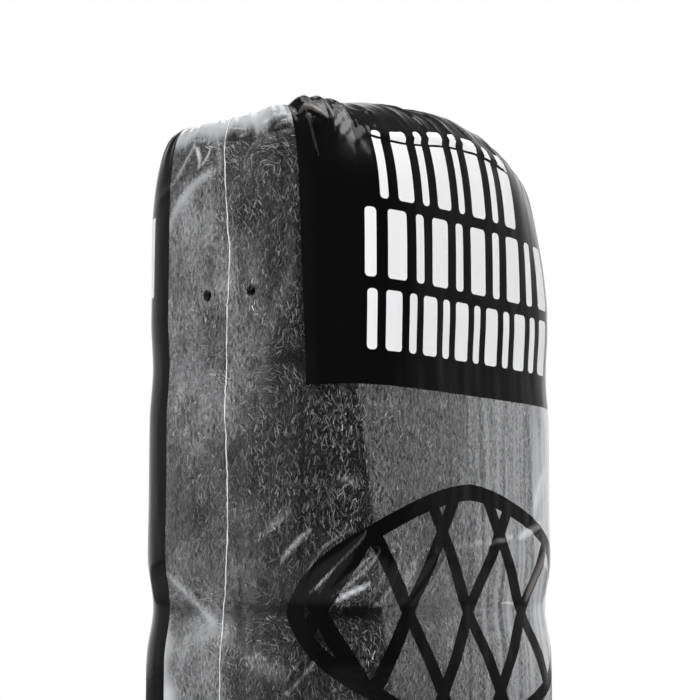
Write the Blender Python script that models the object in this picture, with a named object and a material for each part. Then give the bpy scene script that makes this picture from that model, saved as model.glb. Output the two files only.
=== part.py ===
# A sleeve of steel wool hand pads: sixteen rolled pads, four deep in four tiers,
# packed tight in a side-welded clear film bag whose mouth is sealed and folded over.
# Metres, +Z up. The front of the pack looks along -Y, the narrow sides along -X and +X.
# The origin is the middle of the flat base.

import math

import bmesh
import bpy
from mathutils import Matrix, Vector

# One pad: a ribbon of wool rolled flat, two turns round
PAD_LENGTH = 0.1006  # along X, across the front of the pack
PAD_THICK = 0.0204  # along Y
PAD_HEIGHT = 0.0644  # along Z
LAYER_GAP = 0.0004  # between one turn of the ribbon and the next
END_ROUND = 0.0040  # how far the ends of a pad round off
END_SHRINK = 0.16  # how much smaller the end of the roll is than its middle

# The stack
PADS_DEEP = 4
TIERS = 4
PAD_GAP = 0.0003  # between neighbouring pads
FILM_GAP = 0.0006  # between the wool and the film
CORNER_POWER = 4.5  # plan outline |x/a|^p + |y/b|^p = 1, the soft corners of squeezed wool
CORNER_THIN = 0.35  # share of its thickness that an outer pad keeps at its squeezed ends

# The bag
FILM = 0.0001
WAIST = 0.0006  # how far the film draws in between two tiers
MID_WAIST = 0.0013  # and at the middle of the pack
WAIST_REACH = 0.0140  # how far above and below a joint of two tiers that shows
WELD_BEAD = 0.0004  # how far each side weld stands out
WELD_HALF_WIDTH = 0.0007
WRAP_SHIFT = 0.0022  # how far the bag sits turned round the stack
VENT_RADIUS = 0.0015
VENT_FROM_WELD = 0.0072
VENT_BELOW_TOP = 0.0530
VENT_FACETS = 12
VENT_CUT = 0.0020  # length of the cutter, far more than the film
SHOULDER = 0.0460  # height over which the top rounds in
TOP_POWER = 3.6
TOP_SLACK = 0.0030  # loose film above the wool
END_FALL = 0.0060  # how far the folded top drops towards the narrow sides
BASE_ROUND = 0.0090
BASE_INSET = 0.0065  # how far the flat base lies inside the outline
BASE_POWER = 2.6

# The folded seal on the top of the bag
SEAL_INSET = 0.0070  # how far its ends lie inside the narrow sides
SEAL_HALF_GAP = 0.00035
SEAL_WIDTH = 0.0125
SEAL_BEND = 0.0012

WOOL_COLOUR = (0.12, 0.12, 0.125)
FILM_COLOUR = (0.80, 0.82, 0.85)
FILM_ALPHA = 0.3

QUARTER_POINTS = 11  # outline points from a weld to the middle of the front
OUTLINE_SAMPLES = 720  # fine steps in which the outline is measured
SHARP_ANGLE = math.radians(40)

WOOL_HALF_X = PAD_LENGTH / 2
WOOL_HALF_Y = (PADS_DEEP * PAD_THICK + (PADS_DEEP - 1) * PAD_GAP) / 2
WOOL_BASE = FILM + FILM_GAP
WOOL_TOP = WOOL_BASE + TIERS * PAD_HEIGHT + (TIERS - 1) * PAD_GAP
BAG_HALF_X = WOOL_HALF_X + FILM_GAP + FILM
BAG_HALF_Y = WOOL_HALF_Y + FILM_GAP + FILM
BAG_TOP = WOOL_TOP + FILM_GAP + FILM + TOP_SLACK
SHOULDER_START = BAG_TOP - SHOULDER
SEAL_HALF_X = BAG_HALF_X - SEAL_INSET


def clear_scene():
    for old in list(bpy.data.objects):
        bpy.data.objects.remove(old)


def make_material(name, colour, roughness, metallic, alpha=1.0):
    material = bpy.data.materials.new(name)
    material.use_nodes = True
    shader = material.node_tree.nodes["Principled BSDF"]
    shader.inputs["Base Color"].default_value = (*colour, 1.0)
    shader.inputs["Roughness"].default_value = roughness
    shader.inputs["Metallic"].default_value = metallic
    shader.inputs["Alpha"].default_value = alpha
    return material


def add_object(name, builder, material=None):
    mesh = bpy.data.meshes.new(name)
    bmesh.ops.recalc_face_normals(builder, faces=builder.faces)
    builder.to_mesh(mesh)
    builder.free()
    if material:
        mesh.materials.append(material)
    mesh.shade_smooth()
    mesh.set_sharp_from_angle(angle=SHARP_ANGLE)
    thing = bpy.data.objects.new(name, mesh)
    bpy.context.scene.collection.objects.link(thing)
    return thing


def loft(rings):
    # Joins rings of equally many points by quads and closes both ends with one face.
    builder = bmesh.new()
    rows = [[builder.verts.new(point) for point in ring] for ring in rings]
    count = len(rows[0])
    for low, high in zip(rows, rows[1:]):
        for i in range(count):
            j = (i + 1) % count
            builder.faces.new((low[i], low[j], high[j], high[i]))
    builder.faces.new(rows[0][::-1])
    builder.faces.new(rows[-1])
    return builder


def rise(share, power):
    # Height of a soft shoulder, 0 at the outline (share 1) and 1 over the middle.
    return max(0.0, 1.0 - min(abs(share), 1.0) ** power) ** (1.0 / power)


def plan_share(x, y, half_x, half_y):
    # 0 on the axis of the pack and 1 on its plan outline.
    total = abs(x / half_x) ** CORNER_POWER + abs(y / half_y) ** CORNER_POWER
    return total ** (1.0 / CORNER_POWER)


def half_depth_at(x, half_x, half_y):
    return half_y * rise(x / half_x, CORNER_POWER)


def shoulder_height(share):
    # Top of the wool above the place where its shoulder starts.
    return SHOULDER * rise(share, TOP_POWER)


def base_height(share):
    # Underside of the wool: it lifts off the base round the edge, over BASE_ROUND.
    inner = 1.0 - BASE_INSET / WOOL_HALF_Y
    beyond = max(0.0, share - inner) / (1.0 - inner)
    return BASE_ROUND * (1.0 - rise(beyond, BASE_POWER))


def roll_path():
    # The middle line of the ribbon in a pad, as (y, z) points with their headings:
    # up the first run, then half turns at top, bottom and top, each a layer wider.
    layer = PAD_THICK / 4
    top = PAD_HEIGHT - 2 * layer
    bottom = 1.5 * layer
    turns = (
        (0.0, top, 0.5 * layer, 0.0, 4),
        (0.5 * layer, bottom, layer, math.pi, 4),
        (0.0, top, 1.5 * layer, 0.0, 6),
    )
    path = [(0.5 * layer, bottom, math.pi / 2)]
    for centre, height, radius, start, steps in turns:
        for i in range(steps + 1):
            turn = start + math.pi * i / steps
            y = centre + radius * math.cos(turn)
            path.append((y, height + radius * math.sin(turn), turn + math.pi / 2))
    path.append((-1.5 * layer, 0.5 * layer, 1.5 * math.pi))
    return path


def pad_section():
    # The outline of the rolled ribbon, seen from the end of the pad.
    half = (PAD_THICK / 4 - LAYER_GAP) / 2
    left = []
    right = []
    for y, z, heading in roll_path():
        left.append((y - half * math.sin(heading), z + half * math.cos(heading)))
        right.append((y + half * math.sin(heading), z - half * math.cos(heading)))
    return left + right[::-1]


def end_scale(share):
    # Sections shrink a little at the two ends of a pad.
    inner = 1.0 - END_ROUND / WOOL_HALF_X
    beyond = max(0.0, abs(share) - inner) / (1.0 - inner)
    return 1.0 - END_SHRINK * (1.0 - rise(beyond, 2.0))


def pad_stations(bends):
    # Where along the pad its sections stand, as shares of its half length. A pad that
    # bends to the corners or the shoulders has two more on each side.
    half = [1.0 - END_ROUND / WOOL_HALF_X, 1.0]
    if bends:
        half = [0.45, 0.76] + half
    return [-s for s in reversed(half)] + half


def pad_half_length(row):
    # A pad ends where the outline of the stack comes in to the pad's own side, but an
    # outer pad runs on, thinner, into the soft corners.
    inner_edge = abs(row - (PADS_DEEP - 1) / 2) * (PAD_THICK + PAD_GAP) - PAD_THICK / 2
    outermost = row in (0, PADS_DEEP - 1)
    limit = inner_edge + (CORNER_THIN if outermost else 1.0) * PAD_THICK
    return WOOL_HALF_X * rise(limit / WOOL_HALF_Y, CORNER_POWER), outermost


def waist_at(z):
    # How far the pack draws in at height z, where two tiers meet.
    total = 0.0
    for joint in range(1, TIERS):
        depth = MID_WAIST if joint * 2 == TIERS else WAIST
        away = abs(z - joint_height(joint)) / WAIST_REACH
        total += depth * max(0.0, 1.0 - away)
    return total


def joint_height(joint):
    return WOOL_BASE + joint * (PAD_HEIGHT + PAD_GAP) - PAD_GAP / 2


def seat_in_stack(x, y, z, row_centre, tier):
    # Squeezes a point of a pad into the outline, the shoulders and the base of the stack.
    tier_base = WOOL_BASE + tier * (PAD_HEIGHT + PAD_GAP)
    waist = waist_at(z)
    x *= 1.0 - waist / WOOL_HALF_X
    limit = half_depth_at(x, WOOL_HALF_X - waist, WOOL_HALF_Y - waist)
    inner_edge = abs(row_centre) - PAD_THICK / 2
    outer_edge = abs(row_centre) + PAD_THICK / 2
    side = 1.0 if row_centre > 0 else -1.0
    out = y * side
    if limit < outer_edge:
        out = inner_edge + (out - inner_edge) * (limit - inner_edge) / PAD_THICK
    y = out * side
    share = plan_share(x, y, WOOL_HALF_X, WOOL_HALF_Y)
    up = z - tier_base
    if tier == TIERS - 1:
        top = WOOL_TOP - SHOULDER + shoulder_height(share)
        z = tier_base + up * (top - tier_base) / PAD_HEIGHT
    if tier == 0:
        lift = base_height(share)
        z = tier_base + lift + up * (PAD_HEIGHT - lift) / PAD_HEIGHT
    return Vector((x, y, z))


def make_pad(row, tier, wool):
    half_length, outermost = pad_half_length(row)
    row_centre = (row - (PADS_DEEP - 1) / 2) * (PAD_THICK + PAD_GAP)
    tier_base = WOOL_BASE + tier * (PAD_HEIGHT + PAD_GAP)
    section = pad_section()
    rings = []
    for share in pad_stations(outermost or tier == TIERS - 1):
        scale = end_scale(share)
        ring = []
        for across, up in section:
            y = row_centre + across * scale
            z = tier_base + PAD_HEIGHT / 2 + (up - PAD_HEIGHT / 2) * scale
            ring.append(seat_in_stack(share * half_length, y, z, row_centre, tier))
        rings.append(ring)
    return add_object(f"pad_tier{tier + 1}_row{row + 1}", loft(rings), wool)


def outline_table():
    # The plan outline as points with their distance along it, from the -X weld by the front.
    points = []
    for i in range(OUTLINE_SAMPLES + 1):
        turn = math.pi + 2 * math.pi * i / OUTLINE_SAMPLES
        reach = 1.0 / plan_share(math.cos(turn), math.sin(turn), BAG_HALF_X, BAG_HALF_Y)
        points.append(Vector((reach * math.cos(turn), reach * math.sin(turn))))
    along = [0.0]
    for a, b in zip(points, points[1:]):
        along.append(along[-1] + (b - a).length)
    return points, along


def point_along(table, distance):
    points, along = table
    distance %= along[-1]
    for i in range(1, len(along)):
        if along[i] >= distance:
            share = (distance - along[i - 1]) / (along[i] - along[i - 1])
            return points[i - 1].lerp(points[i], share)
    return points[-1]


def film_outline():
    # Unit outline of the bag with its two weld beads: (x, y) as shares of the half sizes.
    table = outline_table()
    quarter = table[1][-1] / 4
    spots = []
    for side in range(2):
        weld = side * 2 * quarter - WRAP_SHIFT
        spots.append((weld - WELD_HALF_WIDTH, 0.0))
        spots.append((weld, WELD_BEAD))
        spots.append((weld + WELD_HALF_WIDTH, 0.0))
        for i in range(1, 2 * QUARTER_POINTS):
            spots.append((weld + quarter * i / QUARTER_POINTS, 0.0))
    outline = []
    for distance, proud in spots:
        point = point_along(table, distance)
        point = point + point.normalized() * proud
        outline.append((point.x / BAG_HALF_X, point.y / BAG_HALF_Y))
    return outline


def level_ring(outline, z, half_x, half_y):
    return [Vector((x * half_x, y * half_y, z)) for x, y in outline]


def end_fall(share):
    # The drop of the folded top at a share of its half length.
    return END_FALL * abs(share) ** 3


def base_rings(outline):
    # The flat base and the round edge above it.
    rings = []
    for share in (0.0, 0.35, 0.7, 1.0):
        turn = share * math.pi / 2
        inset = BASE_INSET * (1.0 - math.sin(turn) ** (2 / BASE_POWER))
        z = BASE_ROUND * (1.0 - math.cos(turn) ** (2 / BASE_POWER))
        rings.append(level_ring(outline, z, BAG_HALF_X - inset, BAG_HALF_Y - inset))
    return rings


def side_rings(outline):
    # Three rings round each waist, as far as the shoulders leave room for them.
    rings = []
    for joint in range(1, TIERS):
        for step in (-WAIST_REACH, 0.0, WAIST_REACH):
            z = joint_height(joint) + step
            if z < SHOULDER_START:
                inset = waist_at(z)
                rings.append(level_ring(outline, z, BAG_HALF_X - inset, BAG_HALF_Y - inset))
    return rings


def shoulder_rings(outline):
    # The front and the back close in to the ridge of the sealed mouth. The film stands
    # further out over the narrow sides, where it is only folded in.
    rings = []
    for share in (1.0, 0.985, 0.95, 0.88, 0.76, 0.55, 0.28):
        z = SHOULDER_START + SHOULDER * rise(share, TOP_POWER)
        half_x = SEAL_HALF_X + SEAL_INSET * rise(1.0 - share, 2.0)
        ring = level_ring(outline, z, half_x, BAG_HALF_Y * share)
        for point, (x, y) in zip(ring, outline):
            point.z -= end_fall(x) * (1.0 - share)
        rings.append(ring)
    return rings


def seal_rings(outline):
    # From the ridge of the mouth the flat seal bends over backwards, along the top.
    rings = []
    for turn in (0.0, 30.0, 60.0, 90.0):
        angle = math.radians(turn)
        centre_y = SEAL_BEND * (1.0 - math.cos(angle))
        centre_z = BAG_TOP + SEAL_BEND * math.sin(angle)
        rings.append(seal_ring(outline, centre_y, centre_z, angle))
    rings.append(seal_ring(outline, centre_y + SEAL_WIDTH, centre_z, angle))
    return rings


def seal_ring(outline, centre_y, centre_z, angle):
    # A ring of the two plies lying SEAL_HALF_GAP either side of the middle of the seal.
    ring = []
    for x, y in outline:
        off = y * SEAL_HALF_GAP
        across = centre_y + off * math.cos(angle)
        up = centre_z - off * math.sin(angle) - end_fall(x)
        ring.append(Vector((x * SEAL_HALF_X, across, up)))
    return ring


def vent_cutter():
    # Round cutters through the film, one either side of each weld.
    table = outline_table()
    half_way = table[1][-1] / 2
    builder = bmesh.new()
    for side in range(2):
        for step in (-VENT_FROM_WELD, VENT_FROM_WELD):
            spot = point_along(table, side * half_way - WRAP_SHIFT + step)
            place = Matrix.Translation((spot.x, spot.y, BAG_TOP - VENT_BELOW_TOP))
            bmesh.ops.create_cone(
                builder,
                cap_ends=True,
                segments=VENT_FACETS,
                radius1=VENT_RADIUS,
                radius2=VENT_RADIUS,
                depth=VENT_CUT,
                matrix=place @ Matrix.Rotation(math.pi / 2, 4, "Y"),
            )
    cutter = add_object("vent_cutter", builder)
    cutter.hide_render = True
    cutter.display_type = "WIRE"
    return cutter


def make_bag(film):
    outline = film_outline()
    rings = base_rings(outline) + side_rings(outline) + shoulder_rings(outline) + seal_rings(outline)
    bag = add_object("film_bag", loft(rings), film)
    skin = bag.modifiers.new("film", "SOLIDIFY")
    skin.thickness = FILM
    skin.offset = -1.0
    vents = bag.modifiers.new("vents", "BOOLEAN")
    vents.operation = "DIFFERENCE"
    vents.object = vent_cutter()
    return bag


def main():
    clear_scene()
    wool = make_material("steel_wool", WOOL_COLOUR, 0.5, 0.7)
    film = make_material("clear_film", FILM_COLOUR, 0.12, 0.0, FILM_ALPHA)
    for tier in range(TIERS):
        for row in range(PADS_DEEP):
            make_pad(row, tier, wool)
    make_bag(film)


main()
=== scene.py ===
# The looks of a sleeve of rolled steel wool pads, packed tight in a clear bag of
# printed film. Lengths in the settings are millimetres. A place on the film is given
# as along, measured round the bag from the near weld and positive towards the front,
# and up, measured from the base and on over the shoulders.
import math

import bmesh
import bpy
import numpy as np
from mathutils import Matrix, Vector, noise


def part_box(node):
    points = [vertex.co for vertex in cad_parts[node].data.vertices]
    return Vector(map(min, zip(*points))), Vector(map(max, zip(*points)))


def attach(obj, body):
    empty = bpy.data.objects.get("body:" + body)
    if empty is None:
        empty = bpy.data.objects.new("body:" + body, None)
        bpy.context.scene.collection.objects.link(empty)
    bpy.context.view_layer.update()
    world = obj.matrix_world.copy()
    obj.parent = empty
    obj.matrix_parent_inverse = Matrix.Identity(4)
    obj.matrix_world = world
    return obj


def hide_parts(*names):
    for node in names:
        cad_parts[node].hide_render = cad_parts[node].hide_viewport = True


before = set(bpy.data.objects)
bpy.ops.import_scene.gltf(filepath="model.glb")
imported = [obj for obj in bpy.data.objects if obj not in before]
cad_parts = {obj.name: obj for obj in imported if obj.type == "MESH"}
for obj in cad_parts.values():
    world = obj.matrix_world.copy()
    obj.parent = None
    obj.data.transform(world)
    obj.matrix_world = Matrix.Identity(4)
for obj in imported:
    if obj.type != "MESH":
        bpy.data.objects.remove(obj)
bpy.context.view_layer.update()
mm = 0.001
print("frame loaded:", len(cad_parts), "nodes")

# What the pack is made of. The overall sizes come from the frame.
pack = {
    "tiers": 4,
    "rows": 4,
    "padGap": 0.3,
    "layerGap": 0.4,
    "filmGap": 0.6,
    "film": 0.1,
    "weldBead": 0.4,
    "cornerPower": 4.5,
    "cornerThin": 0.35,
    "wrapShift": 2.2,
    "waist": 0.6,
    "midWaist": 1.3,
    "waistReach": 14.0,
    "shoulder": 46.0,
    "topPower": 3.6,
    "topSlack": 3.0,
    "endFall": 6.0,
    "baseRound": 9.0,
    "baseInset": 6.5,
    "basePower": 2.6,
}
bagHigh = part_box("film_bag")[1]
padLow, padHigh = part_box("pad_tier2_row2")
halfX = bagHigh.x / mm - pack["weldBead"]
halfY = bagHigh.y / mm
skin = pack["filmGap"] + pack["film"]
woolHalfX = halfX - skin
woolHalfY = halfY - skin
padHeight = (padHigh.z - padLow.z) / mm
padThick = (padHigh.y - padLow.y) / mm + pack["layerGap"]
tierPitch = padHeight + pack["padGap"]
rowPitch = padThick + pack["padGap"]
woolTop = skin + pack["tiers"] * tierPitch - pack["padGap"]
bagTop = woolTop + skin + pack["topSlack"]
shoulderStart = bagTop - pack["shoulder"]


def rise(share, power):
    # A soft shoulder: 0 at the rim, where share is 1, and 1 over the middle.
    return np.clip(1.0 - np.clip(np.abs(share), 0, 1) ** power, 0, 1) ** (1.0 / power)


def smooth(low, high, value):
    t = np.clip((value - low) / (high - low), 0, 1)
    return t * t * (3 - 2 * t)


def planShare(x, y, sizeX, sizeY):
    power = pack["cornerPower"]
    return (np.abs(x / sizeX) ** power + np.abs(y / sizeY) ** power) ** (1.0 / power)


def waistAt(z):
    # How far the pack draws in where two tiers meet.
    total = 0.0
    for joint in range(1, pack["tiers"]):
        depth = pack["midWaist"] if joint * 2 == pack["tiers"] else pack["waist"]
        height = skin + joint * tierPitch - pack["padGap"] / 2
        away = np.clip(np.abs(z - height) / pack["waistReach"], 0, 1)
        total = total + depth * (1.0 - away * away * (3 - 2 * away))
    return total


def fieldNoise(points, scale, seed, detail=1):
    # Noise from about -1 to 1 at each of an array of points, in millimetres.
    values = np.empty(len(points))
    shift = Vector((seed * 17.3, seed * 5.1, seed * 9.7))
    for i, point in enumerate(points):
        place = Vector((point[0] * scale[0], point[1] * scale[1], point[2] * scale[2])) + shift
        value, size = 0.0, 1.0
        for step in range(detail):
            value += noise.noise(place) * size
            place = place * 2.03
            size *= 0.5
        values[i] = value
    return values


# Node helpers
def wire(tree, source, socket):
    # Feeds a socket from another one, or sets its plain value.
    if isinstance(source, bpy.types.NodeSocket):
        tree.links.new(source, socket)
    else:
        socket.default_value = source


def place(tree, kind, settings=None, **inputs):
    # Adds a node, sets its options and feeds the inputs named by it. Spaces in a
    # name are left out and its first letter is small.
    node = tree.nodes.new(kind)
    for key, value in (settings or {}).items():
        setattr(node, key, value)
    for key, value in inputs.items():
        for socket in node.inputs:
            plain = socket.name.replace(" ", "")
            if plain[:1].lower() + plain[1:] == key and socket.enabled:
                wire(tree, value, socket)
                break
        else:
            raise KeyError(f"{kind} has no input {key}")
    return node


def calc(tree, operation, *values, clamp=False):
    node = tree.nodes.new("ShaderNodeMath")
    node.operation = operation
    node.use_clamp = clamp
    for socket, value in zip(node.inputs, values):
        wire(tree, value, socket)
    return node.outputs[0]


def vectorCalc(tree, operation, *values, scale=None):
    node = tree.nodes.new("ShaderNodeVectorMath")
    node.operation = operation
    for socket, value in zip(node.inputs, values):
        wire(tree, value, socket)
    if scale is not None:
        wire(tree, scale, node.inputs["Scale"])
    return node.outputs["Value" if operation in ("DOT_PRODUCT", "LENGTH", "DISTANCE") else "Vector"]


def mixColour(tree, factor, a, b):
    node = tree.nodes.new("ShaderNodeMix")
    node.data_type = "RGBA"
    wire(tree, factor, node.inputs["Factor"])
    wire(tree, a, node.inputs[6])
    wire(tree, b, node.inputs[7])
    return node.outputs[2]


def mixValue(tree, factor, a, b):
    node = tree.nodes.new("ShaderNodeMix")
    wire(tree, factor, node.inputs["Factor"])
    wire(tree, a, node.inputs["A"])
    wire(tree, b, node.inputs["B"])
    return node.outputs["Result"]


def newGroup(name, kind, inputs, outputs):
    tree = bpy.data.node_groups.new(name, kind)
    for inOut, sockets in (("INPUT", inputs), ("OUTPUT", outputs)):
        for label, socketType, *value in sockets:
            socket = tree.interface.new_socket(name=label, in_out=inOut, socket_type=socketType)
            if value:
                socket.default_value = value[0]
    return tree, tree.nodes.new("NodeGroupInput"), tree.nodes.new("NodeGroupOutput")


def newMaterial(name):
    material = bpy.data.materials.new(name)
    material.use_nodes = True
    return material, material.node_tree, material.node_tree.nodes["Principled BSDF"]


def useGroup(tree, group, **inputs):
    return place(tree, "ShaderNodeGroup", {"node_tree": group}, **inputs)


# The print: black fields with rows of white blocks, and a lattice of black bars
printing = {
    "frontCentre": 82.75,
    "frontHalfWidth": 56.2,
    "frontLow": 185.0,
    "frontLean": 0.04,
    "backHalfWidth": 61.2,
    "backLow": 3.0,
    "rows": [
        # from and to along the film, low and high, pitch and gap of the blocks
        (44.6, 108.0, 233.0, 250.5, 15.8, 3.5),
        (39.9, 125.6, 212.5, 230.5, 17.1, 3.6),
        (41.0, 124.6, 194.0, 209.5, 13.9, 2.7),
    ],
    "narrowShare": 0.40,
    "blockRound": 1.1,
    "backRows": [
        (-137.0, -29.6, 213.0, 235.0, 22.5, 4.4),
        (-133.0, -33.5, 184.0, 204.0, 18.8, 4.0),
    ],
    "motifCentre": (82.0, 128.0),
    "motifHalf": (61.5, 33.5),
    "motifPower": 1.55,
    "motifBar": 4.3,
    "motifPitch": 22.0,
    "motifLean": 58.0,
    "black": (0.0024, 0.0023, 0.0023, 1),
    "white": (0.86, 0.86, 0.87, 1),
    "tuckLine": (246.9, 0.28, 44.0, 106.0),  # up, half width, from and to along
    "tuckRise": (68.0, 0.0045),  # from there the line curves up towards the near corner
}


def blockRowGroup():
    # Mask of a row of rounded blocks, a wide and a narrow one in each pitch.
    tree, given, result = newGroup(
        "block row",
        "ShaderNodeTree",
        [(name, "NodeSocketFloat") for name in
         ("Along", "Up", "From", "To", "Low", "High", "Pitch", "Gap", "Narrow", "Round")],
        [("Mask", "NodeSocketFloat")],
    )
    g = given.outputs
    start = calc(tree, "SUBTRACT", g["Along"], g["From"])
    cell = calc(tree, "FRACT", calc(tree, "DIVIDE", start, g["Pitch"]))
    inCell = calc(tree, "MULTIPLY", cell, g["Pitch"])
    split = calc(tree, "MULTIPLY", g["Pitch"], g["Narrow"])
    middle = calc(tree, "MULTIPLY", calc(tree, "ADD", g["Low"], g["High"]), 0.5)
    halfHigh = calc(tree, "MULTIPLY", calc(tree, "SUBTRACT", g["High"], g["Low"]), 0.5)
    offUp = calc(tree, "ABSOLUTE", calc(tree, "SUBTRACT", g["Up"], middle))
    masks = []
    for low, high in ((0.0, split), (split, g["Pitch"])):
        centre = calc(tree, "MULTIPLY", calc(tree, "ADD", low, high), 0.5)
        half = calc(tree, "MULTIPLY", calc(tree, "SUBTRACT", high, low), 0.5)
        half = calc(tree, "SUBTRACT", half, calc(tree, "MULTIPLY", g["Gap"], 0.5))
        offAlong = calc(tree, "ABSOLUTE", calc(tree, "SUBTRACT", inCell, centre))
        corner = []
        for off, reach in ((offAlong, half), (offUp, halfHigh)):
            inner = calc(tree, "SUBTRACT", reach, g["Round"])
            corner.append(calc(tree, "MAXIMUM", calc(tree, "SUBTRACT", off, inner), 0.0))
        squares = [calc(tree, "MULTIPLY", c, c) for c in corner]
        distance = calc(tree, "SQRT", calc(tree, "ADD", *squares))
        masks.append(calc(tree, "LESS_THAN", distance, g["Round"]))
    both = calc(tree, "MAXIMUM", *masks)
    inside = calc(tree, "MULTIPLY", calc(tree, "GREATER_THAN", g["Along"], g["From"]),
                  calc(tree, "LESS_THAN", g["Along"], g["To"]))
    wire(tree, calc(tree, "MULTIPLY", both, inside), result.inputs["Mask"])
    return tree


def latticeGroup():
    # Mask of an upright lattice of slanting bars inside a soft lozenge.
    tree, given, result = newGroup(
        "bar lattice",
        "ShaderNodeTree",
        [("Along", "NodeSocketFloat"), ("Up", "NodeSocketFloat")],
        [("Mask", "NodeSocketFloat")],
    )
    centreAlong, centreUp = printing["motifCentre"]
    halfWide, halfHigh = printing["motifHalf"]
    bar = printing["motifBar"]
    along = calc(tree, "SUBTRACT", given.outputs["Along"], centreAlong)
    up = calc(tree, "SUBTRACT", given.outputs["Up"], centreUp)

    def lozenge(wide, high):
        total = []
        for value, half in ((along, wide), (up, high)):
            share = calc(tree, "DIVIDE", calc(tree, "ABSOLUTE", value), half)
            total.append(calc(tree, "POWER", share, printing["motifPower"]))
        return calc(tree, "LESS_THAN", calc(tree, "ADD", *total), 1.0)

    outer = lozenge(halfWide, halfHigh)
    inner = lozenge(halfWide - bar * 1.25, halfHigh - bar)
    rim = calc(tree, "SUBTRACT", outer, inner)
    lean = math.radians(printing["motifLean"])
    bars = []
    for side in (-1, 1):
        across = calc(tree, "ADD", calc(tree, "MULTIPLY", along, math.sin(lean)),
                      calc(tree, "MULTIPLY", up, side * math.cos(lean)))
        wave = calc(tree, "PINGPONG", across, printing["motifPitch"] / 2)
        bars.append(calc(tree, "LESS_THAN", wave, bar / 2))
    lattice = calc(tree, "MULTIPLY", calc(tree, "MAXIMUM", *bars), outer)
    wire(tree, calc(tree, "MAXIMUM", rim, lattice, clamp=True), result.inputs["Mask"])
    return tree


def printGroup():
    # Where the film carries black and white ink.
    tree, given, result = newGroup(
        "bag print",
        "ShaderNodeTree",
        [("Along", "NodeSocketFloat"), ("Up", "NodeSocketFloat")],
        [("Black", "NodeSocketFloat"), ("White", "NodeSocketFloat")],
    )
    along, up = given.outputs["Along"], given.outputs["Up"]
    centre = printing["frontCentre"]
    low = printing["frontLow"]
    lean = calc(tree, "MULTIPLY", calc(tree, "SUBTRACT", up, low), printing["frontLean"])
    reach = calc(tree, "ADD", lean, printing["frontHalfWidth"])
    offFront = calc(tree, "ABSOLUTE", calc(tree, "SUBTRACT", along, centre))
    front = calc(tree, "MULTIPLY", calc(tree, "LESS_THAN", offFront, reach),
                 calc(tree, "GREATER_THAN", up, low))
    offBack = calc(tree, "ABSOLUTE", calc(tree, "ADD", along, centre))
    back = calc(tree, "MULTIPLY", calc(tree, "LESS_THAN", offBack, printing["backHalfWidth"]),
                calc(tree, "GREATER_THAN", up, printing["backLow"]))
    motif = useGroup(tree, latticeGroup(), along=along, up=up).outputs[0]
    black = calc(tree, "MAXIMUM", calc(tree, "MAXIMUM", front, back), motif)
    rowGroup = blockRowGroup()
    white = 0.0
    for start, end, rowLow, rowHigh, pitch, gap in printing["rows"] + printing["backRows"]:
        node = useGroup(tree, rowGroup, along=along, up=up, to=end, low=rowLow,
                        high=rowHigh, pitch=pitch, gap=gap,
                        narrow=printing["narrowShare"], round=printing["blockRound"])
        node.inputs["From"].default_value = start
        white = calc(tree, "MAXIMUM", white, node.outputs[0])
    lineUp, lineHalf, lineFrom, lineTo = printing["tuckLine"]
    bendFrom, bend = printing["tuckRise"]
    short = calc(tree, "MAXIMUM", calc(tree, "SUBTRACT", bendFrom, along), 0.0)
    line = calc(tree, "MULTIPLY_ADD", calc(tree, "MULTIPLY", short, short), bend, lineUp)
    offLine = calc(tree, "ABSOLUTE", calc(tree, "SUBTRACT", up, line))
    offMiddle = calc(tree, "ABSOLUTE", calc(tree, "SUBTRACT", along, (lineFrom + lineTo) / 2))
    hidden = calc(tree, "MULTIPLY", calc(tree, "LESS_THAN", offLine, lineHalf),
                  calc(tree, "LESS_THAN", offMiddle, (lineTo - lineFrom) / 2))
    white = calc(tree, "SUBTRACT", white, hidden, clamp=True)
    wire(tree, black, result.inputs["Black"])
    wire(tree, white, result.inputs["White"])
    return tree


def crinkleGroup():
    # The fine crumple of thin film: long soft ripples and a little orange peel.
    tree, given, result = newGroup(
        "film crinkle",
        "ShaderNodeTree",
        [("Place", "NodeSocketVector"), ("Strength", "NodeSocketFloat", 1.0)],
        [("Normal", "NodeSocketVector")],
    )
    stretched = vectorCalc(tree, "MULTIPLY", given.outputs["Place"], (1.0, 1.0, 0.22))
    ripple = place(tree, "ShaderNodeTexNoise", vector=stretched, scale=160.0, detail=2.0)
    peel = place(tree, "ShaderNodeTexNoise", vector=given.outputs["Place"], scale=520.0, detail=1.0)
    height = calc(tree, "ADD", ripple.outputs[0], calc(tree, "MULTIPLY", peel.outputs[0], 0.18))
    bump = place(tree, "ShaderNodeBump", height=height, strength=given.outputs["Strength"],
                 distance=0.0006)
    wire(tree, bump.outputs[0], result.inputs["Normal"])
    return tree


filmFinish = {
    "clear": (0.93, 0.94, 0.96, 1),
    "mirror": 1.4,
    "graze": 0.055,
    "leastCloud": 0.004,
    "mostClear": 0.80,
    "clearRoughness": 0.12,
    "inkRoughness": 0.13,
    "whiteRoughness": 0.38,
    # A painted sheen, slightly brownish, on the black ink where the fold highlights are painted
    "inkHaze": 0.48,
    "inkHazeFrom": 0.08,
    "inkSheen": (0.80, 0.75, 0.725, 1),
    "crinkle": 0.14,
    "grain": 5.0,  # how much the fibres that touch the film show in its haze
    "grainScale": 1700.0,
    "grainFade": (-4.0, 1.4),  # thick haze hides them
}


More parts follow.
